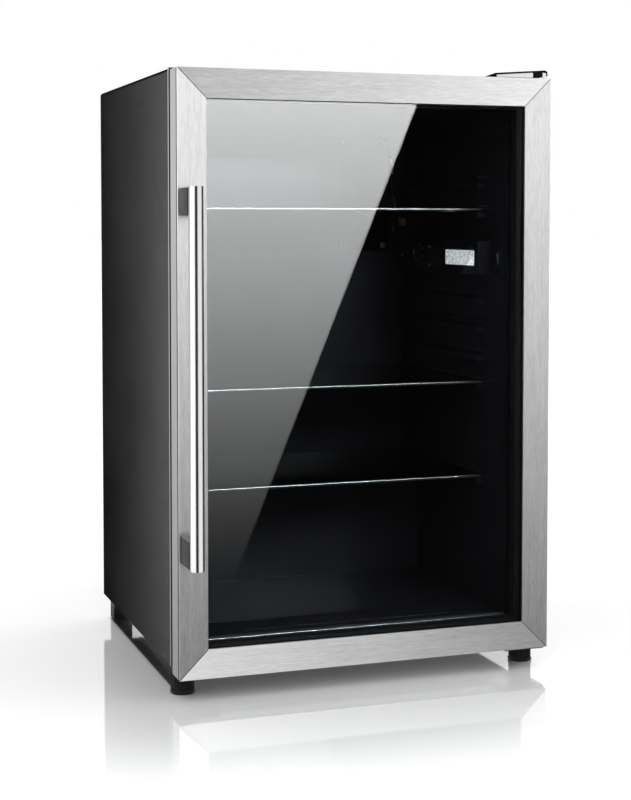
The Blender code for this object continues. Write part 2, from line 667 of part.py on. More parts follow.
def build_pipes(finishes, centre, floor, drier_ends):
    """The discharge and suction pipes in the bay, and the condenser coil inside the left wall."""
    drier_low, drier_high = drier_ends
    rear = centre.y + COMPRESSOR_WIDTH / 2
    right = centre.x + COMPRESSOR_LENGTH / 2
    discharge = [
        (right + 2 * MM + GAP, centre.y, floor + 40 * MM),
        (right + 22 * MM, centre.y, floor + 38 * MM),
        (right + 34 * MM, centre.y + 10 * MM, floor + 70 * MM),
        (right + 40 * MM, centre.y, floor + 120 * MM),
        (right + 62 * MM, centre.y - 10 * MM, floor + 150 * MM),
        (HALF_WIDTH - 20 * MM, centre.y - 12 * MM, floor + 130 * MM),
    ]
    tube("discharge_pipe", smooth_route(discharge), PIPE_RADIUS, finishes["copper"])
    box_left = centre.x - COMPRESSOR_LENGTH / 2 - STARTER_REACH
    suction = [
        (DRIER_X, centre.y, drier_high + PIPE_RADIUS),
        (DRIER_X, centre.y, drier_high + 20 * MM),
        (DRIER_X + 20 * MM, centre.y, drier_high + 34 * MM),
        (box_left - 40 * MM, centre.y + 10 * MM, drier_high + 20 * MM),
        (box_left - 30 * MM, centre.y, drier_low + 20 * MM),
        (box_left - 12 * MM, rear - 20 * MM, drier_low - 8 * MM),
    ]
    tube("suction_pipe", smooth_route(suction), PIPE_RADIUS, finishes["copper"])

    wall_x = COIL_RADIUS + GAP + SHEET - HALF_WIDTH
    bottom, top = BAY_TOP + COIL_MARGIN, CABINET_TOP - COIL_MARGIN
    first, last = FLANGE_DEPTH + 60 * MM, BACK_DEPTH - COIL_MARGIN
    pitch = (last - first) / (COIL_RUNS - 1)
    radius = pitch / 2
    points = []
    for run in range(COIL_RUNS):
        y = y_at(first + run * pitch)
        ends = (bottom + radius, top - radius)
        low_to_high = run % 2 == 0
        points += [(wall_x, y, z) for z in (ends if low_to_high else ends[::-1])]
        if run < COIL_RUNS - 1:
            z = ends[1] if low_to_high else ends[0]
            swing = (180, 0) if low_to_high else (180, 360)
            points += [(wall_x, u, v) for u, v in arc((y + radius, z), radius, *swing, 6)[1:-1]]
    tube("condenser_coil", points, COIL_RADIUS, finishes["copper"])


def build_gland(finishes):
    """Strain relief in the rear panel, where the mains cord comes out."""
    centre = (GLAND_X, y_at(BACK_DEPTH), GLAND_Z)
    bore = GLAND_RADIUS - 4 * MM
    flange = GLAND_RADIUS + GLAND_FLANGE
    head = -SHEET - GAP
    profile = [
        (bore, 0), (GLAND_RADIUS, 0), (GLAND_RADIUS, head), (flange, head), (flange, head - 2 * MM),
        (GLAND_RADIUS - 1 * MM, head - 2 * MM), (GLAND_RADIUS - 1 * MM, -GLAND_BACK), (bore, -GLAND_BACK),
    ]
    turned("cord_gland", profile, centre, "Y", finishes["rubber"], 16)


# ---------------------------------------------------------------- lamp and thermostat
def build_controls(finishes):
    """Control housing on the right wall with the thermostat, its knob, the lamp and a rocker switch."""
    front, back = y_at(FLANGE_DEPTH + HOUSING_SETBACK), y_at(LINER_BACK) - 8 * MM
    low_z, high_z = HOUSING_BOTTOM, HOUSING_TOP
    face_x, wall_x = LINER_HALF - HOUSING_REACH, LINER_HALF - GAP
    radius = HOUSING_HEIGHT / 2

    def outline(inset):
        nose = arc((back - radius, low_z + radius), radius - inset, -90, 90, 8)
        return [(front + inset, low_z + inset), *nose, (front + inset, high_z - inset)]

    housing = prism("control_housing", "X", outline(0), face_x, wall_x, finishes["black_plastic"])
    hollow = outline(HOUSING_WALL)
    inner = prism(
        "housing_hollow", "X", hollow, face_x + HOUSING_WALL, wall_x + 10 * MM, finishes["black_plastic"],
    )
    cut(housing, inner)

    lens_front = front + LENS_SETBACK
    lens_low = low_z + (HOUSING_HEIGHT - LENS_HEIGHT) / 2
    low = Vector((face_x, lens_front, lens_low))
    high = Vector((face_x + HOUSING_WALL, lens_front + LENS_LENGTH, lens_low + LENS_HEIGHT))
    margin = Vector((5 * MM, GAP, GAP))
    cut(housing, block("lens_window", low - margin, high + margin, finishes["lens"]))
    block("lamp_lens", low, high, finishes["lens"])
    board_x = high.x + 6 * MM
    block(
        "lamp_board", (board_x, low.y + 6 * MM, low.z + 2 * MM),
        (board_x + 1.6 * MM, high.y - 6 * MM, high.z - 2 * MM), finishes["board"],
    )

    knob_y, knob_z = y_at(LINER_BACK) - KNOB_FROM_BACK, low_z + radius
    centre = (0, knob_y, knob_z)
    shaft_hole = rod(
        "shaft_hole", KNOB_SHAFT + PIN_CLEARANCE, face_x - 5 * MM, face_x + 5 * MM, "X", centre,
        finishes["black_plastic"],
    )
    cut(housing, shaft_hole)
    thermostat_x = face_x + HOUSING_WALL + 3 * MM
    block(
        "thermostat", (thermostat_x, knob_y - 20 * MM, knob_z - 14 * MM),
        (wall_x - GAP, knob_y + 20 * MM, knob_z + 14 * MM), finishes["zinc"],
    )
    outer = face_x - GAP - KNOB_REACH
    profile = [
        (0, thermostat_x - GAP), (KNOB_SHAFT, thermostat_x - GAP), (KNOB_SHAFT, face_x - GAP),
        (KNOB_RADIUS, face_x - GAP), (KNOB_RADIUS - 1 * MM, outer + 1 * MM), (KNOB_RADIUS - 2.5 * MM, outer),
        (0, outer),
    ]
    knob = turned("thermostat_knob", profile, centre, "X", finishes["black_plastic"], 32, origin=centre)
    pointer = block(
        "knob_pointer", (outer - 1.5 * MM, knob_y - 1.5 * MM, knob_z),
        (outer + 2 * MM, knob_y + 1.5 * MM, knob_z + KNOB_RADIUS - 3 * MM), finishes["black_plastic"],
    )
    cut(knob, pointer, "UNION")
    build_switch(finishes)


def build_switch(finishes):
    """Rocker switch for the lamp, in a bezel on the right wall near the front."""
    centre = Vector((LINER_HALF - GAP - SWITCH_REACH / 2, y_at(SWITCH_DEPTH), HOUSING_TOP - HOUSING_HEIGHT / 2))
    half = Vector((SWITCH_REACH, SWITCH_WIDTH, SWITCH_HEIGHT)) / 2
    border = Vector((0, 2 * MM, 2 * MM))
    through = Vector((10 * MM, 0, 0))
    bezel = block("light_switch_bezel", centre - half, centre + half, finishes["black_plastic"])
    opening_half = half - border + through
    cut(bezel, block("switch_opening", centre - opening_half, centre + opening_half, finishes["rubber"]))
    key_half = half - border - Vector((1 * MM, 0.4 * MM, 1 * MM))
    rocker = block(
        "light_switch_rocker", centre - key_half, centre + key_half, finishes["grey_plastic"], origin=centre,
    )
    rocker.rotation_euler.y = -SWITCH_TILT


# ---------------------------------------------------------------- shelves
def build_shelves(finishes):
    """Glass shelves with a bright trim along the front, each free to slide on its ledges."""
    half = LINER_HALF - SHELF_SIDE_CLEARANCE
    for number, top in enumerate(SHELF_TOPS, start=1):
        origin = (0, y_at(SHELF_FRONT), top)
        glass_front = y_at(SHELF_FRONT + SHELF_TRIM + GAP)
        block(
            f"shelf_glass_{number}", (-half, glass_front, top - SHELF_GLASS), (half, y_at(SHELF_BACK), top),
            finishes["dark_glass"], origin=origin,
        )
        middle = top - SHELF_GLASS / 2
        low = (-half, y_at(SHELF_FRONT), middle - SHELF_TRIM_HEIGHT / 2)
        high = (half, y_at(SHELF_FRONT + SHELF_TRIM), middle + SHELF_TRIM_HEIGHT / 2)
        block(f"shelf_trim_{number}", low, high, finishes["aluminium"], origin=origin)


# ---------------------------------------------------------------- feet and hinges
def build_feet(finishes):
    """Two screw-in levelling feet in front and two moulded feet behind."""
    top = BRACKET_BOTTOM - GAP
    for side, x in FOOT_PLACES:
        origin = (x, y_at(FOOT_DEPTH), 0)
        stem_top = PAN_TOP + STEM_REACH
        profile = [
            (0, stem_top), (STEM_RADIUS, stem_top), (STEM_RADIUS, top), (FOOT_RADIUS - 1 * MM, top),
            (FOOT_RADIUS, top - 1 * MM), (FOOT_RADIUS, 7 * MM), (FOOT_RADIUS + FOOT_FLARE, 3 * MM),
            (FOOT_RADIUS + FOOT_FLARE, 1 * MM), (FOOT_RADIUS, 0), (0, 0),
        ]
        turned("foot_front_" + side, profile, origin, "Z", finishes["rubber"], 28, origin=origin)
    for side, sign in (("left", -1), ("right", 1)):
        outer = sign * (HALF_WIDTH - REAR_FOOT_FROM_SIDE)
        inner = outer - sign * REAR_FOOT
        back = y_at(BACK_DEPTH) - 3 * MM
        low = (min(outer, inner), back - REAR_FOOT, 0)
        high = (max(outer, inner), back, CABINET_BOTTOM - GAP)
        block("foot_rear_" + side, low, high, finishes["grey_plastic"], bevel=3 * MM)


def bracket_outline(reach):
    """Side view of a Z-bent bracket: flange under the base, web behind the door, flange under the door."""
    top = CABINET_BOTTOM - GAP
    bottom = BRACKET_BOTTOM
    web = y_at(FLANGE_DEPTH - GAP)
    rear = y_at(FLANGE_DEPTH) + BRACKET_LENGTH
    return [
        (web, top), (web, bottom + BRACKET), (y_at(reach), bottom + BRACKET), (y_at(reach), bottom),
        (web + BRACKET, bottom), (web + BRACKET, top - BRACKET), (rear, top - BRACKET), (rear, top),
    ]


def build_hinges(finishes):
    """Brackets, pins and cover that carry the door on the right-hand side."""
    steel = finishes["zinc"]
    inner = HALF_WIDTH - 2 * MM - BRACKET_WIDTH
    outer = HALF_WIDTH - 2 * MM
    lower = prism("bottom_hinge_bracket", "X", bracket_outline(6 * MM), inner, outer, steel)
    left = prism(
        "corner_bracket_left", "X", bracket_outline(30 * MM), -outer, -inner, finishes["black_paint"],
    )
    for bracket, (side, x) in ((left, FOOT_PLACES[0]), (lower, FOOT_PLACES[1])):
        hole = rod(
            "bracket_stem_hole_" + side, STEM_RADIUS + PIN_CLEARANCE, -5 * MM, 5 * MM, "Z",
            (x, y_at(FOOT_DEPTH), CABINET_BOTTOM), steel,
        )
        cut(bracket, hole)

    axis_y = y_at(HINGE_DEPTH)
    hole = rod(
        "lower_pin_hole", PIN_RADIUS + GAP, -5 * MM, 5 * MM, "Z", (HINGE_X, axis_y, BRACKET_BOTTOM), steel,
    )
    cut(lower, hole)
    profile = [
        (0, DOOR_BOTTOM + PIN_REACH), (PIN_RADIUS, DOOR_BOTTOM + PIN_REACH), (PIN_RADIUS, BRACKET_BOTTOM - GAP),
        (PIN_HEAD_RADIUS, BRACKET_BOTTOM - GAP), (PIN_HEAD_RADIUS, BRACKET_BOTTOM - GAP - PIN_HEAD),
        (0, BRACKET_BOTTOM - GAP - PIN_HEAD),
    ]
    turned("bottom_hinge_pin", profile, (HINGE_X, axis_y, 0), "Z", steel, 20)

    plate_low = CABINET_TOP + GAP
    upper = block(
        "top_hinge_bracket", (inner, y_at(8 * MM), plate_low),
        (outer - 4 * MM, y_at(FLANGE_DEPTH) + BRACKET_LENGTH - 6 * MM, plate_low + BRACKET), steel,
    )
    hole = rod("upper_pin_hole", PIN_RADIUS + GAP, -5 * MM, 5 * MM, "Z", (HINGE_X, axis_y, plate_low), steel)
    cut(upper, hole)
    head = plate_low + BRACKET + GAP
    profile = [
        (0, head + PIN_HEAD), (PIN_HEAD_RADIUS, head + PIN_HEAD), (PIN_HEAD_RADIUS, head), (PIN_RADIUS, head),
        (PIN_RADIUS, DOOR_TOP - PIN_REACH), (0, DOOR_TOP - PIN_REACH),
    ]
    turned("top_hinge_pin", profile, (HINGE_X, axis_y, 0), "Z", steel, 20)
    build_hinge_cover(finishes)


def cover_outline(inset):
    """Front view of the hinge cover: low at its inner end, rising to a rounded outer end."""
    right = HALF_WIDTH - 1 * MM - inset
    left = right + 2 * inset - COVER_WIDTH
    base = CABINET_TOP + GAP
    radius = 4 * MM - inset
    top = base + COVER_HIGH - inset
    end = arc((right - radius, top - radius), radius, 0, 90, 4)
    return [(left, base), (right, base), *end, (left + 5 * MM, base + COVER_LOW - inset)]


def build_hinge_cover(finishes):
    """Moulded cap that hides the top hinge; it is open underneath."""
    front = y_at(4 * MM)
    back = front + COVER_LENGTH
    cover = prism("top_hinge_cover", "Y", cover_outline(0), front, back, finishes["black_plastic"])
    hollow = cover_outline(COVER_WALL)
    hollow[0] = (hollow[0][0], hollow[0][1] - 1 * MM)
    hollow[1] = (hollow[1][0], hollow[1][1] - 1 * MM)
    inner = prism("cover_hollow", "Y", hollow, front + COVER_WALL, back - COVER_WALL, finishes["rubber"])
    cut(cover, inner)


# ---------------------------------------------------------------- door
def mitred_facing(side, half, low, high, width):
    """Front view of one facing member, mitred at both ends, with half the joint gap taken off."""
    slack = GAP / math.sqrt(2)
    members = {
        "left": [(-half, low + slack), (-half + width, low + width + slack),
                 (-half + width, high - width - slack), (-half, high - slack)],
        "right": [(half, low + slack), (half, high - slack),
                  (half - width, high - width - slack), (half - width, low + width + slack)],
        "bottom": [(slack - half, low), (half - slack, low),
                   (half - width - slack, low + width), (slack - half + width, low + width)],
        "top": [(slack - half, high), (slack - half + width, high - width),
                (half - width - slack, high - width), (half - slack, high)],
    }
    return members[side]


def build_door(finishes, axis):
    """Stainless-faced door with a sealed pair of panes, hung from the axis empty."""
    low, high = DOOR_BOTTOM, DOOR_TOP
    for side in ("left", "right", "top", "bottom"):
        outline = mitred_facing(side, HALF_WIDTH, low, high, FACING_WIDTH)
        prism(
            "door_facing_" + side, "Y", outline, y_at(0), y_at(FACING_THICKNESS), finishes["stainless"],
            origin=axis.location, parent=axis,
        )
    on_axis = {"origin": axis.location, "parent": axis}
    backing_front = FACING_THICKNESS + GAP
    ring(
        "door_backing", HALF_WIDTH - BACKING_INSET, low + BACKING_INSET, high - BACKING_INSET,
        FACING_WIDTH - BACKING_INSET - 1 * MM, backing_front, backing_front + BACKING_THICKNESS,
        finishes["black_plastic"], **on_axis,
    )
    core = ring(
        "door_core", HALF_WIDTH, low, high, CORE_WIDTH, CORE_FRONT, DOOR_THICKNESS, finishes["silver"], **on_axis,
    )
    pane_half = HALF_WIDTH - CORE_WIDTH - GAP
    pane_low, pane_high = low + CORE_WIDTH + GAP, high - CORE_WIDTH - GAP

    def pane(name, depth):
        block(
            name, (-pane_half, y_at(depth), pane_low), (pane_half, y_at(depth + PANE), pane_high),
            finishes["clear_glass"], **on_axis,
        )

    pane("glass_outer", CORE_FRONT)
    spacer_front = CORE_FRONT + PANE + GAP
    ring(
        "glass_spacer", pane_half, pane_low, pane_high, SPACER_WIDTH, spacer_front, spacer_front + PANE_SPACING,
        finishes["aluminium"], **on_axis,
    )
    inner_pane = spacer_front + PANE_SPACING + GAP
    pane("glass_inner", inner_pane)
    ring(
        "door_inner_frame", pane_half, pane_low, pane_high, INNER_FRAME_WIDTH, inner_pane + PANE + GAP,
        DOOR_THICKNESS, finishes["black_plastic"], **on_axis,
    )
    ring(
        "door_gasket", HALF_WIDTH - GASKET_INSET, low + GASKET_INSET, high - GASKET_INSET, GASKET_WIDTH,
        DOOR_THICKNESS + GAP, FLANGE_DEPTH - GAP, finishes["rubber"], **on_axis,
    )
    build_bushings(finishes, core, on_axis)
    build_handle(finishes, on_axis)


def build_bushings(finishes, core, on_axis):
    """Plastic sleeves in the ends of the door frame that turn on the hinge pins."""
    outer = BUSHING_RADIUS
    bore = PIN_RADIUS + PIN_CLEARANCE
    depth = PIN_REACH + 3 * MM
    centre = (HINGE_X, y_at(HINGE_DEPTH), 0)
    for name, face, inward in (("bottom", DOOR_BOTTOM, 1), ("top", DOOR_TOP, -1)):
        end, floor = face + inward * depth, face + inward * (PIN_REACH + 1 * MM)
        profile = [(0, floor), (bore, floor), (bore, face), (outer, face), (outer, end), (0, end)]
        turned("hinge_bushing_" + name, profile, centre, "Z", finishes["white_plastic"], 20, **on_axis)
        span = sorted((face - inward * 5 * MM, end + inward * GAP))
        socket = rod("bushing_socket_" + name, outer + GAP, *span, "Z", centre, finishes["silver"], 20, **on_axis)
        cut(core, socket)


def build_handle(finishes, on_axis):
    """Round stainless bar handle on two black posts."""
    x = HANDLE_FROM_EDGE - HALF_WIDTH
    middle = (DOOR_BOTTOM + DOOR_TOP) / 2
    low, high = middle - HANDLE_LENGTH / 2, middle + HANDLE_LENGTH / 2
    y = y_at(-HANDLE_STANDOFF)
    chamfer = 0.8 * MM
    profile = [
        (0, high), (HANDLE_RADIUS - chamfer, high), (HANDLE_RADIUS, high - chamfer),
        (HANDLE_RADIUS, low + chamfer), (HANDLE_RADIUS - chamfer, low), (0, low),
    ]
    turned("handle_tube", profile, (x, y, 0), "Z", finishes["stainless"], 32, **on_axis)
    for name, post_low in (("bottom", low + 1.5 * MM), ("top", high - 1.5 * MM - POST_HEIGHT)):
        post_front = y + math.sqrt(HANDLE_RADIUS**2 - (POST_WIDTH / 2 - 3 * MM) ** 2)
        post = block(
            "handle_post_" + name, (x - POST_WIDTH / 2 + 0.5 * MM, post_front, post_low),
            (x + POST_WIDTH / 2, y_at(0) - GAP, post_low + POST_HEIGHT), finishes["black_plastic"], **on_axis,
        )
        saddle = rod(
            "post_saddle_" + name, HANDLE_RADIUS + GAP, post_low - 5 * MM, post_low + POST_HEIGHT + 5 * MM, "Z",
            (x, y, 0), finishes["rubber"], 32, **on_axis,
        )
        cut(post, saddle)


def main():
    """Build the whole fridge."""
    clear_scene()
    finishes = make_finishes()
    door_axis = bpy.data.objects.new("door_hinge_axis", None)
    place(door_axis, (HINGE_X, y_at(HINGE_DEPTH), DOOR_BOTTOM), None)
    build_shell(finishes)
    build_liner(finishes)
    build_insulation(finishes)
    build_evaporator(finishes)
    build_compressor(finishes)
    build_gland(finishes)
    build_controls(finishes)
    build_shelves(finishes)
    build_feet(finishes)
    build_hinges(finishes)
    build_door(finishes, door_axis)


main()
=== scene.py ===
"""Looks of the glass-door drinks fridge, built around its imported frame.

Each sub-assembly is a class: it takes its places from the frame's own boxes, builds or refines its pieces,
dresses them in a finish and lets them ride on the body that they belong to. Lengths are in metres.
"""

import logging
import math
from collections.abc import Sequence
from dataclasses import dataclass
from enum import Enum

import bmesh
import bpy
from mathutils import Matrix, Vector


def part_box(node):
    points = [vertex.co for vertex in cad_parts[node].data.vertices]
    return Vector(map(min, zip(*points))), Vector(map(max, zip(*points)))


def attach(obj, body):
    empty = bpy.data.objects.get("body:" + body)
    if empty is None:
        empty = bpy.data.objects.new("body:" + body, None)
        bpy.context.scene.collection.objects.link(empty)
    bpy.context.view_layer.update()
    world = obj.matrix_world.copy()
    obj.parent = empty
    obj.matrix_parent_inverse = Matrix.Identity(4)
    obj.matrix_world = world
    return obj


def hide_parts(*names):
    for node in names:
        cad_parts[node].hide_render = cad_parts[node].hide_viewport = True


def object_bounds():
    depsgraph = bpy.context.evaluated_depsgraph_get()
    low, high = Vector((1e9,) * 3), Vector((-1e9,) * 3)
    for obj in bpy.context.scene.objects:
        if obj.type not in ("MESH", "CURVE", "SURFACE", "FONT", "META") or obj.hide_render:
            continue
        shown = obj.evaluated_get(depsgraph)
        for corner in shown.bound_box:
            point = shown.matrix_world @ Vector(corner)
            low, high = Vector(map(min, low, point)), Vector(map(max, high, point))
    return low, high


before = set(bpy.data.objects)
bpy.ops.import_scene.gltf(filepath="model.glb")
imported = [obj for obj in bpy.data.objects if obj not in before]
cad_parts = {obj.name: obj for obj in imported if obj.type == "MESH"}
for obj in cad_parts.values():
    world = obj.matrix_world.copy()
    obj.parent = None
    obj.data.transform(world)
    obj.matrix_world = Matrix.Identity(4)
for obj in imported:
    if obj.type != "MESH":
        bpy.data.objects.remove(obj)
CAD_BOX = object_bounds()
LOG = logging.getLogger("fridge")

MM = 0.001
WELD = 1e-5
SHARP_ANGLE = math.radians(38)
FLAT_ANGLE = math.radians(0.5)
FORWARD = Vector((0, -1, 0))
BACKWARD = Vector((0, 1, 0))
UP = Vector((0, 0, 1))
DOWN = Vector((0, 0, -1))
LEFT = Vector((-1, 0, 0))
RIGHT = Vector((1, 0, 0))

WHITE = (1.0, 1.0, 1.0)
BLACK = (0.0, 0.0, 0.0)
SHELF_TRIMS = ("shelf_trim_1_shaped", "shelf_trim_2_shaped", "shelf_trim_3_shaped")

Colour = tuple[float, float, float]
Point = tuple[float, float, float]
Pair = tuple[float, float]
Shape = bmesh.types.BMesh
Vert = bmesh.types.BMVert
Piece = bpy.types.Object
Material = bpy.types.Material
Tree = bpy.types.NodeTree
Socket = bpy.types.NodeSocket


class Body(str, Enum):
    """The frame's moving bodies."""

    CABINET = "cabinet"
    DOOR = "door"
    SHELF_LOW = "shelf_low"
    SHELF_MIDDLE = "shelf_middle"
    SHELF_HIGH = "shelf_high"
    COLD_KNOB = "cold_knob"
    LIGHT_ROCKER = "light_rocker"
    FOOT_LEFT = "levelling_foot_left"
    FOOT_RIGHT = "levelling_foot_right"


class Grain(Enum):
    """The direction that a brushed or drawn surface is worked in, as a stretch of its pattern."""

    ALONG_X = (60.0, 1300.0, 1300.0)
    ALONG_Y = (1300.0, 60.0, 1300.0)
    ALONG_Z = (1300.0, 1300.0, 60.0)


# ---------------------------------------------------------------- shader writing
class Wire:
    """An output socket that takes part in Python expressions; each operator adds a Math node."""

    def __init__(self, tree: Tree, socket: Socket) -> None:
        """Keep the tree and the socket."""
        self.tree = tree
        self.socket = socket

    def math(self, operation: str, *operands: "float | Wire") -> "Wire":
        """Add one Math node.

        Args:
            operation: The Math node's operation.
            operands: Its inputs, as numbers or wires.

        Returns:
            The node's output.
        """
        node = self.tree.nodes.new("ShaderNodeMath")
        node.operation = operation
        for slot, operand in zip(node.inputs, operands):
            feed(self.tree, slot, operand)
        return Wire(self.tree, node.outputs[0])

    def __add__(self, other: "float | Wire") -> "Wire":
        """Sum."""
        return self.math("ADD", self, other)

    def __radd__(self, other: float) -> "Wire":
        """Sum with a number on the left."""
        return self.math("ADD", other, self)

    def __sub__(self, other: "float | Wire") -> "Wire":
        """Difference."""
        return self.math("SUBTRACT", self, other)

    def __rsub__(self, other: float) -> "Wire":
        """Difference with a number on the left."""
        return self.math("SUBTRACT", other, self)

    def __mul__(self, other: "float | Wire") -> "Wire":
        """Product."""
        return self.math("MULTIPLY", self, other)

    def __rmul__(self, other: float) -> "Wire":
        """Product with a number on the left."""
        return self.math("MULTIPLY", other, self)

    def __pow__(self, other: float) -> "Wire":
        """Power."""
        return self.math("POWER", self, other)


def feed(tree: Tree, slot: Socket, value: object) -> None:
    """Link a wire into a socket, or set the socket's own value.

    Args:
        tree: The tree that the socket is in.
        slot: The input socket.
        value: A wire, a number, a colour or a vector.
    """
    if isinstance(value, Wire):
        tree.links.new(value.socket, slot)
    elif slot.type == "RGBA" and len(value) == 3:
        slot.default_value = (*value, 1.0)
    else:
        slot.default_value = value


class NodeBook:
    """A node tree with one method that adds any node."""

    def __init__(self, tree: Tree) -> None:
        """Start from an empty tree."""
        self.tree = tree
        tree.nodes.clear()

    def node(
        self, kind: str, settings: dict | None = None, inputs: dict | None = None, output: int | str = 0
    ) -> Wire:
        """Add a node.

        Args:
            kind: The node's type, without the ShaderNode prefix.
            settings: Its settings, set first. "stops" gives a ramp's (place, colour) pairs.
            inputs: Values or wires by socket name or number.
            output: The output wanted.

        Returns:
            That output.
        """
        made = self.tree.nodes.new("ShaderNode" + kind)
        for name, value in (settings or {}).items():
            if name == "stops":
                ramp = made.color_ramp.elements
                while len(ramp) < len(value):
                    ramp.new(1.0)
                for element, (place, colour) in zip(ramp, value):
                    element.position = place
                    element.color = (*colour, 1.0)
            else:
                setattr(made, name, value)
        for name, value in (inputs or {}).items():
            feed(self.tree, made.inputs[name], value)
        return Wire(self.tree, made.outputs[output])

    def place(self, stretch: Point = (1.0, 1.0, 1.0), shift: Point = (0.0, 0.0, 0.0)) -> Wire:
        """Object coordinates, stretched and shifted by a Mapping node."""
        where = self.node("TexCoord", output="Object")
        return self.node("Mapping", inputs={"Vector": where, "Scale": stretch, "Location": shift})

    def noise(self, where: Wire, scale: float = 1.0, detail: float = 2.0, roughness: float = 0.5) -> Wire:
        """Noise from 0 to 1 at the given place."""
        inputs = {"Vector": where, "Scale": scale, "Detail": detail, "Roughness": roughness}
        return self.node("TexNoise", inputs=inputs)

    def ramp(self, value: Wire, low: float, high: float) -> Wire:
        """0 below low, 1 above high and smooth between them."""
        settings = {"interpolation_type": "SMOOTHSTEP"}
        return self.node("MapRange", settings, {"Value": value, "From Min": low, "From Max": high})

    def mix(self, factor: "Wire | float", first: "Colour | Wire", second: "Colour | Wire") -> Wire:
        """A colour between two."""
        node = self.tree.nodes.new("ShaderNodeMix")
        node.data_type = "RGBA"
        feed(self.tree, node.inputs[0], factor)
        feed(self.tree, node.inputs[6], first)
        feed(self.tree, node.inputs[7], second)
        return Wire(self.tree, node.outputs[2])

    def part(self, vector: Wire, axis: str) -> Wire:
        """One component of a vector."""
        return self.node("SeparateXYZ", inputs={"Vector": vector}, output=axis)


class Shader(NodeBook):
    """A material with one Principled shader."""

    def __init__(self, name: str) -> None:
        """Make the material, its shader and its output."""
        self.material = bpy.data.materials.new(name)
        self.material.use_nodes = True
        super().__init__(self.material.node_tree)
        self.surface = self.tree.nodes.new("ShaderNodeBsdfPrincipled")
        self.output = self.tree.nodes.new("ShaderNodeOutputMaterial")
        self.tree.links.new(self.surface.outputs[0], self.output.inputs["Surface"])

    def set(self, **values: object) -> None:
        """Set or link the Principled sockets, named with underscores for spaces."""
        for name, value in values.items():
            feed(self.tree, self.surface.inputs[name.replace("_", " ")], value)

    def bump(self, height: Wire, distance: float, strength: float = 1.0) -> None:
        """Drive the normal with a height, whose full range is the distance given."""
        inputs = {"Height": height, "Distance": distance, "Strength": strength}
        self.set(Normal=self.node("Bump", inputs=inputs))

    def mix_over(self, factor: Wire, under: Wire) -> None:
        """Show another shader where the factor is 0 and the Principled one where it is 1."""
        blend = self.tree.nodes.new("ShaderNodeMixShader")
        feed(self.tree, blend.inputs[0], factor)
        self.tree.links.new(under.socket, blend.inputs[1])
        self.tree.links.new(self.surface.outputs[0], blend.inputs[2])
        self.tree.links.new(blend.outputs[0], self.output.inputs["Surface"])


def scaled(colour: Colour, by: float) -> Colour:
    """A colour made darker or lighter."""
    return (colour[0] * by, colour[1] * by, colour[2] * by)


# ---------------------------------------------------------------- finishes
@dataclass(frozen=True)
class Finish:
    """A look: its material's name, a slot name that is not used, and its main colour."""

    name: str
    slot: str
    colour: Colour

    def material(self) -> Material:
        """Make the material. Each kind of finish does this in its own way."""
        raise NotImplementedError


@dataclass(frozen=True)
class BrushedMetal(Finish):
    """Metal with a fine grain in one direction, as on stainless facings and drawn tubes."""

    roughness: float
    grain: Grain
    contrast: float = 0.1
    depth: float = 0.012 * MM

    def material(self) -> Material:
        """Fine scratches, wider bands and a slow drift of tone, all along the grain."""
        shader = Shader(self.name)
        stretch = self.grain.value
        fine = shader.noise(shader.place(stretch), 1.0, 3.0, 0.6)
        wide = tuple(share * 0.22 for share in stretch)
        bands = shader.noise(shader.place(wide, (3.1, 1.7, 2.3)), 1.0, 2.0)
        drift = shader.noise(shader.place((3.0, 3.0, 3.0)), 1.0, 1.0)
        tone = shader.ramp(fine * 0.65 + bands * 0.2 + drift * 0.15, 0.36, 0.64)
        low, high = 1.0 - self.contrast, 1.0 + self.contrast
        shader.set(
            Base_Color=shader.mix(tone, scaled(self.colour, low), scaled(self.colour, high)),
            Metallic=1.0,
            Roughness=self.roughness + (bands - 0.5) * 0.06 + (fine - 0.5) * 0.08,
        )
        shader.bump(fine * 0.7 + bands * 0.3, self.depth)
        return shader.material


@dataclass(frozen=True)
class PaintedSteel(Finish):
    """Sheet steel with a stoved paint: a very fine stipple under a soft gloss."""

    roughness: float
    stipple: float = 0.02 * MM
    grain_size: float = 1.1 * MM

    def material(self) -> Material:
        """Stipple as bump, with a slow drift in tone and gloss."""
        shader = Shader(self.name)
        grain = shader.noise(shader.place(), 1.0 / self.grain_size, 2.0)
        drift = shader.noise(shader.place(shift=(0.4, 0.2, 0.9)), 5.0, 2.0)
        shader.set(
            Base_Color=shader.mix(drift, scaled(self.colour, 0.8), scaled(self.colour, 1.25)),
            Roughness=self.roughness + (drift - 0.5) * 0.06 + (grain - 0.5) * 0.05,
        )
        shader.bump(grain, self.stipple)
        return shader.material


@dataclass(frozen=True)
class MouldedPlastic(Finish):
    """Injection-moulded plastic with an even texture from the tool."""

    roughness: float
    texture: float = 0.03 * MM
    texture_size: float = 0.6 * MM

    def material(self) -> Material:
        """Tool texture, faint flow marks and slightly polished high spots."""
        shader = Shader(self.name)
        texture = shader.noise(shader.place(), 1.0 / self.texture_size, 3.0, 0.6)
        flow = shader.noise(shader.place((6.0, 6.0, 14.0), (1.3, 0.6, 0.2)), 1.0, 3.0)
        shader.set(
            Base_Color=shader.mix(flow, scaled(self.colour, 0.85), scaled(self.colour, 1.18)),
            Roughness=self.roughness + (flow - 0.5) * 0.1 - (texture - 0.5) * 0.1,
        )
        shader.bump(texture, self.texture)
        return shader.material


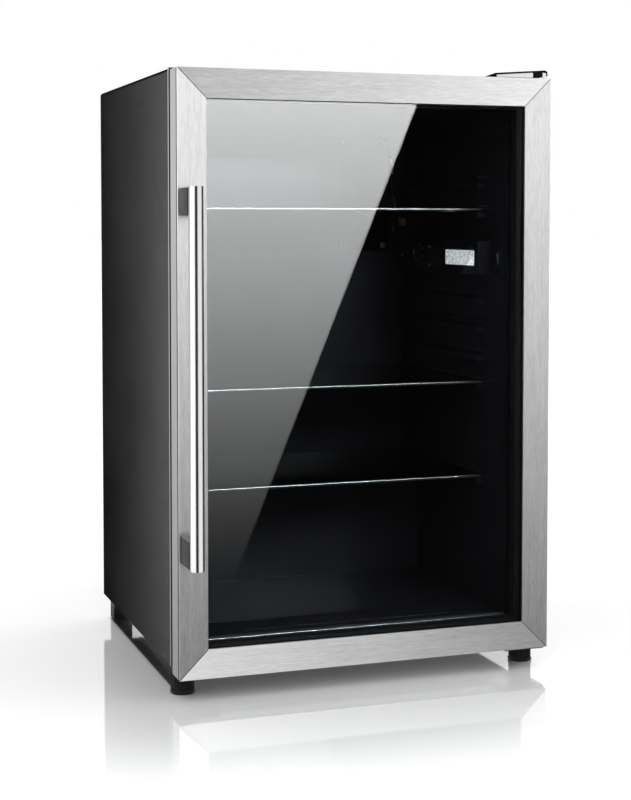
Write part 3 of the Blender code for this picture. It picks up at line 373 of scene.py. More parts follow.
@dataclass(frozen=True)
class VacuumFormed(Finish):
    """The glossy tub of the cabinet: smooth sheet with the long waves left by forming."""

    roughness: float

    def material(self) -> Material:
        """Long shallow waves, with fine haze in the gloss."""
        shader = Shader(self.name)
        waves = shader.noise(shader.place(shift=(0.5, 0.1, 0.3)), 16.0, 1.0)
        haze = shader.noise(shader.place(), 260.0, 3.0)
        shader.set(
            Base_Color=shader.mix(waves, scaled(self.colour, 0.8), scaled(self.colour, 1.3)),
            Roughness=self.roughness + (haze - 0.5) * 0.05,
        )
        shader.bump(waves * 0.9 + haze * 0.1, 0.12 * MM)
        return shader.material


@dataclass(frozen=True)
class Rubber(Finish):
    """Matt black rubber with a dusty bloom."""

    roughness: float = 0.6

    def material(self) -> Material:
        """A slight bloom over a fine grain."""
        shader = Shader(self.name)
        grain = shader.noise(shader.place(), 1400.0, 3.0)
        bloom = shader.noise(shader.place(shift=(0.7, 0.3, 0.1)), 22.0, 3.0)
        shader.set(
            Base_Color=shader.mix(shader.ramp(bloom, 0.4, 0.75), self.colour, scaled(self.colour, 1.9)),
            Roughness=self.roughness + (bloom - 0.5) * 0.2,
        )
        shader.bump(grain, 0.03 * MM)
        return shader.material


@dataclass(frozen=True)
class CastMetal(Finish):
    """Plated, rolled or drawn metal with crystals or stains in its surface."""

    second: Colour
    roughness: float
    spot_size: float

    def material(self) -> Material:
        """Spangle cells that differ in tone and gloss, with faint stains over them."""
        shader = Shader(self.name)
        inputs = {"Vector": shader.place(), "Scale": 1.0 / self.spot_size}
        cells = shader.part(shader.node("TexVoronoi", inputs=inputs, output="Color"), "X")
        stain = shader.noise(shader.place(shift=(0.2, 0.5, 0.8)), 24.0, 4.0, 0.6)
        mask = shader.ramp(stain * 0.7 + cells * 0.3, 0.35, 0.7)
        shader.set(
            Base_Color=shader.mix(mask, self.colour, self.second),
            Metallic=1.0,
            Roughness=self.roughness + (cells - 0.5) * 0.12 + (stain - 0.5) * 0.15,
        )
        shader.bump(stain, 0.02 * MM)
        return shader.material


@dataclass(frozen=True)
class PaneGlass(Finish):
    """Clear or smoked sheet glass, seen through straight, with the gloss of its two faces."""

    face_gloss: float = 0.04

    def material(self) -> Material:
        """A tinted see-through shader under a mirror that grows towards grazing angles."""
        shader = Shader(self.name)
        smear = shader.noise(shader.place((2.0, 2.0, 5.0)), 2.2, 3.0)
        shader.set(
            Base_Color=WHITE,
            Metallic=1.0,
            Roughness=0.004 + shader.ramp(smear, 0.55, 0.85) * 0.03,
        )
        facing = shader.node("LayerWeight", inputs={"Blend": 0.5}, output="Facing")
        mirror = self.face_gloss + (1.0 - self.face_gloss) * facing**5.0
        shader.mix_over(mirror, shader.node("BsdfTransparent", inputs={"Color": self.colour}))
        return shader.material


@dataclass(frozen=True)
class LitLens(Finish):
    """Frosted lamp cover lit from behind: its colour on the beads and a shade between them."""

    shade: Colour
    glow: float

    def material(self) -> Material:
        """Small beads that break up the light."""
        shader = Shader(self.name)
        beads = shader.node("TexVoronoi", inputs={"Vector": shader.place(), "Scale": 330.0})
        cloud = shader.noise(shader.place(), 190.0, 3.0, 0.7)
        sparkle = beads * 0.5 + cloud * 0.6
        shader.set(
            Base_Color=scaled(self.colour, 0.5),
            Roughness=0.25,
            Emission_Color=shader.mix(shader.ramp(sparkle, 0.36, 0.72), self.colour, self.shade),
            Emission_Strength=self.glow,
        )
        shader.bump(beads, 0.3 * MM)
        return shader.material


@dataclass(frozen=True)
class RigidFoam(Finish):
    """Poured insulation with open cells and a skin."""

    def material(self) -> Material:
        """Cells of about a millimetre, yellower where the skin is thick."""
        shader = Shader(self.name)
        cells = shader.node("TexVoronoi", inputs={"Vector": shader.place(), "Scale": 700.0})
        skin = shader.noise(shader.place(), 14.0, 3.0)
        shader.set(
            Base_Color=shader.mix(skin, scaled(self.colour, 0.8), self.colour),
            Roughness=0.85 + cells * 0.1,
        )
        shader.bump(cells, 0.5 * MM)
        return shader.material


@dataclass(frozen=True)
class CircuitBoard(Finish):
    """Green board with tracks under the varnish."""

    def material(self) -> Material:
        """Square cells that read as tracks and pads."""
        shader = Shader(self.name)
        settings = {"distance": "MANHATTAN"}
        tracks = shader.node("TexVoronoi", settings, {"Vector": shader.place(), "Scale": 240.0})
        mask = shader.ramp(tracks, 0.25, 0.4)
        shader.set(
            Base_Color=shader.mix(mask, scaled(self.colour, 2.2), self.colour),
            Roughness=0.3 + mask * 0.15,
        )
        shader.bump(mask, 0.05 * MM)
        return shader.material


STEEL = (0.70, 0.70, 0.705)
BAR_STEEL = (0.78, 0.78, 0.785)
SILVER = (0.62, 0.625, 0.63)
TRIM_METAL = (0.80, 0.80, 0.81)
PLATE_METAL = (0.20, 0.205, 0.215)
SPACER_METAL = (0.20, 0.20, 0.205)
HIGHLIGHT_METAL = (0.66, 0.66, 0.67)
PANE_TINT = (0.94, 0.955, 0.96)

RAIL_STEEL = BrushedMetal("brushed_rail", "brushed_stainless", STEEL, 0.30, Grain.ALONG_X, 0.12)
STILE_STEEL = BrushedMetal("brushed_stile", "brushed_stainless", STEEL, 0.30, Grain.ALONG_Z, 0.12)
HANDLE_STEEL = BrushedMetal("brushed_handle", "brushed_stainless", BAR_STEEL, 0.16, Grain.ALONG_Z, 0.05)
DOOR_SILVER = BrushedMetal("silver_side", "silver_door_frame", SILVER, 0.36, Grain.ALONG_Z, 0.05)
# Bright metal for the strip on the cabinet's front edge and the wedges on the hinge cap: painted highlights
# on black parts.
PAINTED_HIGHLIGHT_METAL = BrushedMetal("edge_bright", "zinc_steel", HIGHLIGHT_METAL, 0.3, Grain.ALONG_Z, 0.05)
SPACER_ALUMINIUM = BrushedMetal("spacer_aluminium", "aluminium", SPACER_METAL, 0.45, Grain.ALONG_Z, 0.05)
TRIM_BRIGHT = BrushedMetal(
    "shelf_trim_bright", "aluminium", TRIM_METAL, 0.22, Grain.ALONG_X, 0.06, 0.002 * MM
)
PLATE_DARK = BrushedMetal("plate_dark", "aluminium", PLATE_METAL, 0.17, Grain.ALONG_X, 0.05, 0.001 * MM)

CABINET_PAINT = (0.0022, 0.0022, 0.0024)
CABINET_BLACK = PaintedSteel("cabinet_black", "black_painted_steel", CABINET_PAINT, 0.085, 0.004 * MM)
POT_BLACK = PaintedSteel("pot_black", "black_painted_steel", (0.018, 0.018, 0.02), 0.42, 0.05 * MM)
LINER_BLACK = VacuumFormed("liner_black", "black_liner", (0.016, 0.0148, 0.0168), 0.2)
LIP_BLACK = MouldedPlastic("lip_black", "black_liner", (0.011, 0.0105, 0.012), 0.16)
PLASTIC_BLACK = MouldedPlastic("plastic_black", "black_plastic", (0.014, 0.014, 0.015), 0.36)
HOUSING_BLACK = MouldedPlastic("housing_black", "black_plastic", (0.012, 0.0112, 0.0125), 0.24, 0.012 * MM)
# The darkest black. On the door backing it is painted shade: it is darker than the other black plastics so
# that the reveal behind the facings reads as dark as its shade. The top hinge cap is in it too.
BACKING_BLACK = MouldedPlastic("backing_black", "black_plastic", (0.003, 0.003, 0.0033), 0.6)
PLASTIC_GREY = MouldedPlastic("plastic_grey", "grey_plastic", (0.09, 0.095, 0.1), 0.28)
PLASTIC_WHITE = MouldedPlastic("plastic_white", "white_plastic", (0.68, 0.68, 0.66), 0.4)
CLIP_BROWN = MouldedPlastic("clip_brown", "grey_plastic", (0.13, 0.105, 0.08), 0.42)
SEAL_BLACK = Rubber("seal_black", "black_rubber", (0.016, 0.016, 0.017))
JOINT_BLACK = Rubber("joint_black", "black_rubber", (0.006, 0.006, 0.006), 0.7)

ZINC = CastMetal("zinc_plate", "zinc_steel", (0.62, 0.63, 0.62), (0.46, 0.48, 0.5), 0.34, 7 * MM)
COPPER = CastMetal("copper_pipe", "copper", (0.72, 0.36, 0.22), (0.44, 0.2, 0.13), 0.32, 12 * MM)
SLEEVE = CastMetal("capillary_sleeve", "copper", (0.80, 0.77, 0.74), (0.62, 0.57, 0.53), 0.25, 12 * MM)
CLEAR_GLASS = PaneGlass("door_pane", "door_glass", PANE_TINT)
INNER_GLASS = PaneGlass("door_pane_inner", "door_glass", PANE_TINT, 0.006)
SMOKED_GLASS = PaneGlass("smoked_glass", "smoked_glass", (0.34, 0.35, 0.37), 0.05)
LENS_LIT = LitLens("lens_lit", "lamp_lens", (0.95, 0.95, 0.97), (0.34, 0.32, 0.31), 0.95)
FOAM = RigidFoam("foam_cream", "insulation", (0.80, 0.70, 0.44))
BOARD = CircuitBoard("board_green", "circuit_board", (0.02, 0.11, 0.05))


# ---------------------------------------------------------------- the workshop
def placed(name: str, shape: Shape, material: Material) -> Piece:
    """Link a mesh into the scene as an object in one material, and free it."""
    mesh = bpy.data.meshes.new(name)
    shape.to_mesh(mesh)
    shape.free()
    mesh.materials.append(material)
    made = bpy.data.objects.new(name, mesh)
    bpy.context.scene.collection.objects.link(made)
    return made


class Workshop:
    """Turns meshes into finished pieces that ride on the frame."""

    def __init__(self) -> None:
        """Start with nothing made."""
        self.made: dict[str, Material] = {}
        self.pieces: dict[str, Piece] = {}

    def find(self, name: str) -> Piece:
        """A finished piece by its name."""
        return self.pieces[name]

    def material(self, finish: Finish) -> Material:
        """The material of a finish, made once."""
        if finish.name not in self.made:
            self.made[finish.name] = finish.material()
        return self.made[finish.name]

    def piece(
        self,
        name: str,
        shape: Shape,
        finish: Finish,
        body: Body,
        replaces: Sequence[str] = (),
        redo_normals: bool = True,
    ) -> Piece:
        """Finish a mesh as a piece.

        Args:
            name: The piece's name.
            shape: Its mesh, in place. It is freed.
            finish: Its finish.
            body: The body that it rides on.
            replaces: The frame's nodes that it stands for.
            redo_normals: Whether its faces still have to be turned outwards.

        Returns:
            The piece.
        """
        if redo_normals:
            bmesh.ops.remove_doubles(shape, verts=shape.verts, dist=WELD)
            bmesh.ops.recalc_face_normals(shape, faces=shape.faces)
        made = placed(name, shape, self.material(finish))
        made.data.shade_smooth()
        made.data.set_sharp_from_angle(angle=SHARP_ANGLE)
        weighted = made.modifiers.new("even_normals", "WEIGHTED_NORMAL")
        weighted.keep_sharp = True
        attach(made, body.value)
        if replaces:
            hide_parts(*replaces)
        self.pieces[name] = made
        LOG.info("%s: %d faces on %s", name, len(made.data.polygons), body.value)
        return made

    def dress(self, node: str, finish: Finish) -> None:
        """Give a frame node that stays as it is its finish."""
        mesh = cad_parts[node].data
        mesh.materials.clear()
        mesh.materials.append(self.material(finish))
        LOG.info("%s keeps its shape, in %s", node, finish.name)

    def refine(
        self, node: str, finish: Finish, body: Body, round_by: float, segments: int = 2, crease: float = 30.0,
        whole_faces: bool = True,
    ) -> Piece:
        """Stand a copy of a frame node in for it, merged and with its sharp edges rounded.

        Args:
            node: The frame's node.
            finish: The piece's finish.
            body: The body that it rides on.
            round_by: The width of the rounding.
            segments: The steps of the rounding.
            crease: The least angle, in degrees, of an edge that is rounded.
            whole_faces: Whether flat faces are joined whole, or only in pairs, as a ring needs.

        Returns:
            The piece.
        """
        shape = merged_copy(node, whole_faces)
        round_edges(shape, round_by, segments, crease)
        return self.piece(node + "_shaped", shape, finish, body, (node,), redo_normals=False)

    def furnish(self, body: Body, *rows: tuple) -> None:
        """Refine or dress frame nodes in turn.

        Args:
            body: The body that they ride on.
            rows: A node and its finish each, and for a node to refine also refine's own values.
        """
        for node, finish, *rounding in rows:
            if rounding:
                self.refine(node, finish, body, *rounding)
            else:
                self.dress(node, finish)


def merged_copy(node: str, whole_faces: bool = True) -> Shape:
    """A copy of a frame node's mesh with its loose triangles joined, whole or in pairs."""
    shape = bmesh.new()
    shape.from_mesh(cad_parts[node].data)
    bmesh.ops.remove_doubles(shape, verts=shape.verts, dist=WELD)
    if whole_faces:
        bmesh.ops.dissolve_limit(
            shape, angle_limit=FLAT_ANGLE, use_dissolve_boundaries=False, verts=shape.verts, edges=shape.edges
        )
    else:
        bmesh.ops.join_triangles(
            shape, faces=shape.faces, angle_face_threshold=FLAT_ANGLE, angle_shape_threshold=math.pi
        )
    return shape


def round_edges(shape: Shape, width: float, segments: int = 2, crease: float = 30.0) -> None:
    """Bevel every edge that is sharper than the crease angle, in degrees."""
    limit = math.radians(crease)
    sharp = [e for e in shape.edges if e.is_manifold and e.calc_face_angle(0.0) > limit]
    bmesh.ops.bevel(
        shape, geom=sharp, offset=width, offset_type="OFFSET", affect="EDGES", segments=segments, profile=0.5,
        material=-1, clamp_overlap=True, loop_slide=True,
    )


def block(shape: Shape, low: Sequence[float], high: Sequence[float]) -> list[Vert]:
    """Add a box between two corners and return its points."""
    made = bmesh.ops.create_cube(shape, size=1.0)["verts"]
    bmesh.ops.scale(shape, vec=Vector(high) - Vector(low), verts=made)
    bmesh.ops.translate(shape, vec=(Vector(high) + Vector(low)) / 2, verts=made)
    return made


def eased_block(shape: Shape, low: Sequence[float], high: Sequence[float], ease: float) -> None:
    """Add a box between two corners with its own edges rounded."""
    made = block(shape, low, high)
    edges = list({edge for vert in made for edge in vert.link_edges})
    bmesh.ops.bevel(shape, geom=edges, offset=ease, affect="EDGES", segments=2, profile=0.5, material=-1)


def slab(shape: Shape, outline: Sequence[Sequence[float]], run: float) -> list[Vert]:
    """Add a flat outline extruded along Y and return the points of its far end."""
    face = shape.faces.new([shape.verts.new(point) for point in outline])
    made = bmesh.ops.extrude_face_region(shape, geom=[face])["geom"]
    far = [item for item in made if isinstance(item, Vert)]
    bmesh.ops.translate(shape, vec=(0.0, run, 0.0), verts=far)
    return far


def lathe(
    shape: Shape, profile: Sequence[Pair], centre: Sequence[float], axis: Vector,
    steps: int = 32,
) -> None:
    """Add a turned form.

    Args:
        shape: The mesh to add to.
        profile: Pairs of radius and distance along the axis.
        centre: A point on the axis.
        axis: The axis's direction.
        steps: The number of segments round it.
    """
    middle = Vector(centre)
    across = axis.orthogonal().normalized()
    points = [shape.verts.new(middle + across * radius + axis * along) for radius, along in profile]
    edges = [shape.edges.new(pair) for pair in zip(points, points[1:])]
    bmesh.ops.spin(
        shape, geom=points + edges, cent=middle, axis=axis, angle=math.tau, steps=steps, use_merge=True,
    )
    bmesh.ops.remove_doubles(shape, verts=shape.verts, dist=WELD)


def ribbed_disc(
    shape: Shape, centre: Vector, axis: Vector, radius: float, depth: float, ribs: int, length: float
) -> None:
    """Add a round form with ribs down its side.

    Args:
        shape: The mesh to add to.
        centre: The middle of its first end.
        axis: The direction from that end to the other.
        radius: The radius over the ribs.
        depth: How deep the valleys are.
        ribs: The number of ribs.
        length: The length along the axis.
    """
    turn = UP.rotation_difference(axis).to_matrix().to_4x4()
    steps = ribs * 4
    circle = bmesh.ops.create_circle(shape, cap_ends=True, segments=steps, radius=radius)["verts"]
    for vert in circle:
        step = round(math.atan2(vert.co.y, vert.co.x) / math.tau * steps)
        if step % 4 in (2, 3):
            vert.co *= 1.0 - depth / radius
    bmesh.ops.transform(shape, matrix=Matrix.Translation(centre) @ turn, verts=circle)
    made = bmesh.ops.extrude_face_region(shape, geom=[circle[0].link_faces[0]])["geom"]
    top = [item for item in made if isinstance(item, Vert)]
    bmesh.ops.translate(shape, vec=axis * length, verts=top)
    cap = next(item for item in made if isinstance(item, bmesh.types.BMFace))
    bmesh.ops.inset_region(shape, faces=[cap], thickness=1.2 * MM, depth=0.6 * MM)


def framed_loop(
    shape: Shape, half: float, low: float, high: float, profile: Sequence[Pair]
) -> None:
    """Run a closed profile round a rectangle seen from the front, with mitred corners.

    Args:
        shape: The mesh to add to.
        half: Half the outer width.
        low: The outer bottom.
        high: The outer top.
        profile: Pairs of inset from the outer edge and place in Y.
    """
    middle = (low + high) / 2
    points = [shape.verts.new((x, 0.0, middle + z)) for x, z in ((-1, -1), (1, -1), (1, 1), (-1, 1))]
    ring = [shape.edges.new(pair) for pair in zip(points, points[1:] + points[:1])]
    for number, (inset, y) in enumerate((*profile, profile[0])):
        if number:
            made = bmesh.ops.extrude_edge_only(shape, edges=ring)["geom"]
            points = [item for item in made if isinstance(item, Vert)]
            new = set(points)
            edges = [item for item in made if isinstance(item, bmesh.types.BMEdge)]
            ring = [edge for edge in edges if new.issuperset(edge.verts)]
        for vert in points:
            z = low + inset if vert.co.z < middle else high - inset
            vert.co = (math.copysign(half - inset, vert.co.x), y, z)
    bmesh.ops.remove_doubles(shape, verts=shape.verts, dist=WELD)


def eased_bar(width: float, front: float, back: float, ease: float) -> list[Pair]:
    """The profile of a flat bar with rounded edges, for framed_loop."""
    half = 0.3 * ease
    return [
        (0.0, front + ease), (half, front + half), (ease, front),
        (width - ease, front), (width - half, front + half), (width, front + ease),
        (width, back - ease), (width - half, back - half), (width - ease, back),
        (ease, back), (half, back - half), (0.0, back - ease),
    ]


def cross_screw(shape: Shape, seat: Sequence[float], axis: Vector, radius: float) -> None:
    """Add a pan-head screw with a cross recess, standing on its seat and facing along the axis."""
    turn = Matrix.Translation(Vector(seat)) @ axis.to_track_quat("Z", "Y").to_matrix().to_4x4()
    height = radius * 0.62
    arm, reach = radius * 0.16, radius * 0.6
    corners = 12
    rows = (
        (1.0, 0.0, False), (1.0, height * 0.45, False), (0.8, height, False), (1.0, height, True),
        (0.7, height * 0.35, True),
    )
    loops = []
    for share, z, is_cross in rows:
        points = []
        for corner in range(corners):
            if is_cross:
                quarter, place = divmod(corner, 3)
                local = ((reach * share, -arm), (reach * share, arm), (arm, arm))[place]
                spot = Matrix.Rotation(quarter * math.pi / 2, 3, "Z") @ Vector((*local, z))
            else:
                angle = math.tau * (corner - 0.5) / corners
                spot = Vector((radius * share * math.cos(angle), radius * share * math.sin(angle), z))
            points.append(shape.verts.new(turn @ spot))
        loops.append(points)
    for lower, upper in zip(loops, loops[1:]):
        for index in range(corners):
            after = (index + 1) % corners
            shape.faces.new((lower[index], lower[after], upper[after], upper[index]))
    shape.faces.new(loops[0][::-1])
    shape.faces.new(loops[-1])


# ---------------------------------------------------------------- studio
class Glow(NodeBook):
    """A see-through material that only adds light, so that panels can stand behind each other."""

    def __init__(self, name: str) -> None:
        """Make the material."""
        self.material = bpy.data.materials.new(name)
        self.material.use_nodes = True
        super().__init__(self.material.node_tree)

    def shine(self, value: "Wire | float", strength: float = 1.0) -> None:
        """Add this much light everywhere."""
        colour = self.mix(value, BLACK, WHITE)
        light = self.node("Emission", inputs={"Color": colour, "Strength": strength})
        clear = self.node("BsdfTransparent", inputs={"Color": WHITE})
        total = self.node("AddShader", inputs={0: light, 1: clear})
        output = self.tree.nodes.new("ShaderNodeOutputMaterial")
        self.tree.links.new(total.socket, output.inputs["Surface"])

    def between(self, value: Wire, start: float, end: float, low: float, high: float) -> Wire:
        """A straight run from low to high while the value goes from start to end."""
        inputs = {"Value": value, "From Min": start, "From Max": end, "To Min": low, "To Max": high}
        return self.node("MapRange", inputs=inputs)


def light_only(source: Piece, receivers: Sequence[Piece]) -> None:
    """Let a lamp or a glowing panel light these pieces only."""
    lit = bpy.data.collections.new(source.name + "_lights")
    for piece in receivers:
        lit.objects.link(piece)
    source.light_linking.receiver_collection = lit


def put_reflector(
    name: str, shape: Shape, glow: Glow, receivers: Sequence[Piece]
) -> None:
    """Place a panel that only the reflections of the receivers see.

    Args:
        name: The panel's name.
        shape: Its mesh, which is freed.
        glow: Its light.
        receivers: The pieces that mirror it.
    """
    panel = placed(name, shape, glow.material)
    for ray in ("camera", "diffuse", "transmission", "volume_scatter", "shadow"):
        setattr(panel, "visible_" + ray, False)
    light_only(panel, receivers)


def round_room(radius: float) -> Shape:
    """A sphere round the whole set."""
    shape = bmesh.new()
    bmesh.ops.create_uvsphere(shape, u_segments=48, v_segments=24, radius=radius)
    return shape


@dataclass
class Surround:
    """A room-sized soft light for one group of pieces, with a brightness for each corner of the view."""

    name: str
    pieces: tuple[str, ...]
    top: Pair
    bottom: Pair
    radius: float = 9.0
    left_x: float = 1.97
    right_x: float = 4.2
    low_z: float = -2.45
    high_z: float = 1.5
    bounce: float = 0.55

    def build(self, shop: "Workshop") -> None:
        """Make the room with its slow gradients, and the floor's light coming back from far below."""
        glow = Glow(self.name)
        place = glow.place()
        across, up = glow.part(place, "X"), glow.part(place, "Z")
        above = glow.between(across, self.left_x, self.right_x, *self.top)
        below = glow.between(across, self.left_x, self.right_x, *self.bottom)
        height = glow.between(up, self.low_z, self.high_z, 0.0, 1.0)
        from_floor = glow.ramp(0.0 - up, -self.low_z + 0.4, -self.low_z + 2.6) * self.bounce
        glow.shine((below + height * (above - below) + from_floor) * 0.5, 2.0)
        put_reflector(self.name, round_room(self.radius), glow, [shop.find(name) for name in self.pieces])


@dataclass
class StripLights:
    """Two upright soft lights with a dark gap between them, for the round bar."""

    name: str
    pieces: tuple[str, ...]
    right: Pair = (0.12, 1.36)
    left: Pair = (-1.95, -0.62)
    edge: float = 0.10
    strength: float = 1.35
    radius: float = 7.4

    def build(self, shop: "Workshop") -> None:
        """Make the room with its two bright sectors."""
        glow = Glow(self.name)
        place = glow.place()
        turn = glow.part(place, "X").math("ARCTAN2", glow.part(place, "X"), 0.0 - glow.part(place, "Y"))
        bands = []
        for start, end in (self.right, self.left):
            rise = glow.ramp(turn, start - self.edge, start + self.edge)
            fall = glow.ramp(turn, end - self.edge, end + self.edge)
            bands.append(rise - fall)
        glow.shine(0.02 + bands[0] * 0.72 + bands[1] * 0.95, self.strength)
        put_reflector(self.name, round_room(self.radius), glow, [shop.find(name) for name in self.pieces])


@dataclass
class SoftLight:
    """A large area light for the even light of the room."""

    name: str
    place: Point
    target: Point
    size: Pair
    power: float
    colour: Colour = WHITE
    in_reflections: bool = False

    def build(self) -> Piece:
        """Make the light, turn it to its target and return it."""
        data = bpy.data.lights.new(self.name, "AREA")
        data.shape = "RECTANGLE"
        data.size, data.size_y = self.size
        data.energy = self.power
        data.color = self.colour
        light = bpy.data.objects.new(self.name, data)
        bpy.context.scene.collection.objects.link(light)
        light.location = self.place
        light.rotation_euler = (Vector(self.target) - Vector(self.place)).to_track_quat("-Z", "Y").to_euler()
        light.visible_camera = False
        light.visible_glossy = self.in_reflections
        return light


@dataclass
class Studio:
    """Camera, pale floor and soft light."""

    camera_place: Point = (-0.78356, -2.25808, 0.63515)
    yaw: float = math.radians(19.0478)
    pitch: float = math.radians(-2.8838)
    lens: float = 72.238
    rise: float = -0.12
    floor_radius: float = 60.0
    floor_mirror: float = 0.45
    floor_polish_end: float = 0.36
    skirt_low: float = 1 * MM
    skirt_high: float = 24 * MM
    room_fill: float = 1.42
    side_glow: float = 0.62
    dark_level: float = 0.008
    lamp_power: float = 1.3
    door_light_power: float = 26.0
    lip_light_power: float = 260.0
    window_y: float = -1.15
    window_top: float = 0.90
    window_bottom: float = 0.03
    window_left: float = -0.34
    window_edge: tuple[Pair, ...] = ((0.0714, 0.7997), (-0.2290, 0.0700))
    window_power: float = 10.8

    def build(self, shop: "Workshop") -> None:
        """Set the stage round the finished pieces."""
        self.add_camera()
        floor = self.add_floor()
        self.add_skirt()
        self.add_world()
        self.add_lights(shop)
        self.add_glare(shop)
        stiles = ("door_facing_left_shaped", "door_facing_right_shaped")
        top_rail = ("door_facing_top_shaped", "cover_slots")
        bottom_rail = ("door_facing_bottom_shaped",)
        silver = ("door_core_shaped", "front_edge")
        rooms = (
            Surround("stile_room", stiles, (1.36, 1.22), (0.02, 0.0)),
            Surround("top_rail_room", top_rail, (0.54, 1.44), (0.54, 1.44), 8.6),
            Surround("bottom_rail_room", bottom_rail, (1.13, 0.14), (1.13, 0.14), 7.0, 1.53, 3.27),
            Surround("silver_room", silver, (0.4, 0.4), (0.0, 0.0), 8.2, bounce=0.2),
            Surround("trim_room", SHELF_TRIMS, (0.6, 0.6), (0.5, 0.5), 7.8),
        )
        for room in rooms:
            room.build(shop)
        shop.find("handle_bar").visible_glossy = False
        StripLights("handle_room", ("handle_bar",)).build(shop)
        white = Glow("floor_room")
        white.shine(1.0)
        put_reflector("floor_room", round_room(self.floor_radius * 1.2), white, [floor])
        scene = bpy.context.scene
        scene.view_settings.view_transform = "Standard"
        scene.view_settings.look = "None"

    def add_camera(self) -> None:
        """The camera, upright but for a slight tilt, with a small rise of its back."""
        data = bpy.data.cameras.new("camera")
        data.lens = self.lens
        data.sensor_width = 36.0
        data.shift_y = self.rise
        data.clip_end = 200.0
        camera = bpy.data.objects.new("camera", data)
        bpy.context.scene.collection.objects.link(camera)
        camera.location = self.camera_place
        camera.rotation_euler = (math.pi / 2 + self.pitch, 0.0, -self.yaw)
        bpy.context.scene.camera = camera

    def add_floor(self) -> Piece:
        """A wide pale floor with a polish that fades a stride away from the fridge."""
        shape = bmesh.new()
        bmesh.ops.create_circle(shape, cap_ends=True, segments=96, radius=self.floor_radius)
        shader = Shader("pale_floor")
        cloud = shader.noise(shader.place(), 1.5, 2.0)
        shader.set(Base_Color=(0.97, 0.97, 0.97), Metallic=1.0, Roughness=0.05 + cloud * 0.02)
        matt = shader.node("BsdfDiffuse", inputs={"Color": (0.83, 0.83, 0.83), "Roughness": 0.0})
        span = shader.node("VectorMath", {"operation": "ABSOLUTE"}, {0: shader.place((1.0, 1.0, 0.0))})
        past = shader.node("VectorMath", {"operation": "SUBTRACT"}, {0: span, 1: (*CAD_BOX[1][:2], 0.0)})
        past = shader.node("VectorMath", {"operation": "MAXIMUM"}, {0: past, 1: BLACK})
        away = shader.node("VectorMath", {"operation": "LENGTH"}, {0: past}, "Value")
        near = 1.0 - shader.ramp(away, -0.02, self.floor_polish_end)
        shader.mix_over(near * self.floor_mirror, matt)
        floor = placed("floor", shape, shader.material)
        floor.visible_glossy = False
        return floor

    def add_skirt(self) -> None:
        """Black cards that keep the room's light from coming in under the fridge from the sides and back."""
        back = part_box("rear_panel")[1].y - 1 * MM
        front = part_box("foot_front_left")[1].y + 5 * MM
        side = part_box("base_pan")[1].x - 6 * MM
        shape = bmesh.new()
        bmesh.ops.create_cube(shape, size=1.0)
        for vert in shape.verts:
            height = self.skirt_high if vert.co.z > 0 else self.skirt_low
            vert.co = (math.copysign(side, vert.co.x), back if vert.co.y > 0 else front, height)
        open_sides = [face for face in shape.faces if face.normal.y < -0.5 or abs(face.normal.z) > 0.5]
        bmesh.ops.delete(shape, geom=open_sides, context="FACES")
        shader = Shader("black_card")
        cloud = shader.noise(shader.place(), 60.0)
        shader.set(Base_Color=shader.mix(cloud, (0.01, 0.01, 0.01), (0.03, 0.03, 0.03)), Roughness=0.9)
        card = placed("skirt", shape, shader.material)
        card.visible_camera = False
        card.visible_glossy = False

    def add_world(self) -> None:
        """White to the eye and as fill; dark in reflections, but for soft light from behind the sides."""
        world = bpy.data.worlds.new("studio")
        bpy.context.scene.world = world
        world.use_nodes = True
        book = NodeBook(world.node_tree)
        way = book.node("TexCoord", output="Generated")
        side = book.part(way, "X").math("ABSOLUTE", book.part(way, "X"))
        inputs = {"Value": side, "From Min": 0.2, "From Max": 0.256, "To Max": 1.0}
        run = book.node("MapRange", inputs=inputs)
        tilt = book.part(way, "Z") + 0.07
        level = book.ramp(tilt * tilt, 0.2, 0.0)
        behind = book.ramp(book.part(way, "Y"), -0.1, 0.25)
        shine = run**1.8 * self.side_glow * level * behind
        inputs = {"Color": book.mix(self.dark_level + shine, BLACK, WHITE), "Strength": 1.0}
        dim = book.node("Background", inputs=inputs)
        eye = book.node("Background", inputs={"Color": WHITE, "Strength": 1.0})
        fill = book.node("Background", inputs={"Color": WHITE, "Strength": self.room_fill})
        is_eye = book.node("LightPath", output="Is Camera Ray")
        is_gloss = book.node("LightPath", output="Is Glossy Ray")
        inner = book.node("MixShader", inputs={0: is_gloss, 1: fill, 2: dim})
        outer = book.node("MixShader", inputs={0: is_eye, 1: inner, 2: eye})
        output = book.tree.nodes.new("ShaderNodeOutputWorld")
        book.tree.links.new(outer.socket, output.inputs["Surface"])

    def add_lights(self, shop: "Workshop") -> None:
        """A faint overhead softbox, the lamp in the cabinet, and two soft lights for the edges inside it."""
        SoftLight("overhead", (0.2, -1.2, 2.8), (0.0, 0.0, 0.4), (2.6, 2.0), 6.0).build()
        lens_low, lens_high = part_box("lamp_lens")
        middle = (lens_low + lens_high) / 2
        place = (lens_low.x - 4 * MM, middle.y, middle.z)
        target = (lens_low.x - 1.0, middle.y - 0.1, middle.z - 0.15)
        SoftLight("cabinet_lamp", place, target, (0.09, 0.018), self.lamp_power, (0.86, 0.92, 1.0)).build()
        inside = (
            "inner_liner_shaped", "evaporator_plate_shaped", "control_housing_shaped", "capillary_sleeve",
            "capillary_clip", "plate_standoffs", "housing_screws", "thermostat_knob_ribbed",
            "light_switch_bezel_shaped", "floor_lip", *SHELF_TRIMS,
        )
        for name, height, aim, depth, power, lit in (
            ("through_the_door", 1.28, 0.5, 0.35, self.door_light_power, inside),
            ("lip_light", 1.4, 0.1, 1.0, self.lip_light_power, ("floor_lip",)),
        ):
            place, target = (0.62, -2.6, height), (0.0, 0.0, aim)
            light = SoftLight(name, place, target, (1.1, depth), power, in_reflections=True).build()
            light_only(light, [shop.find(piece) for piece in lit])

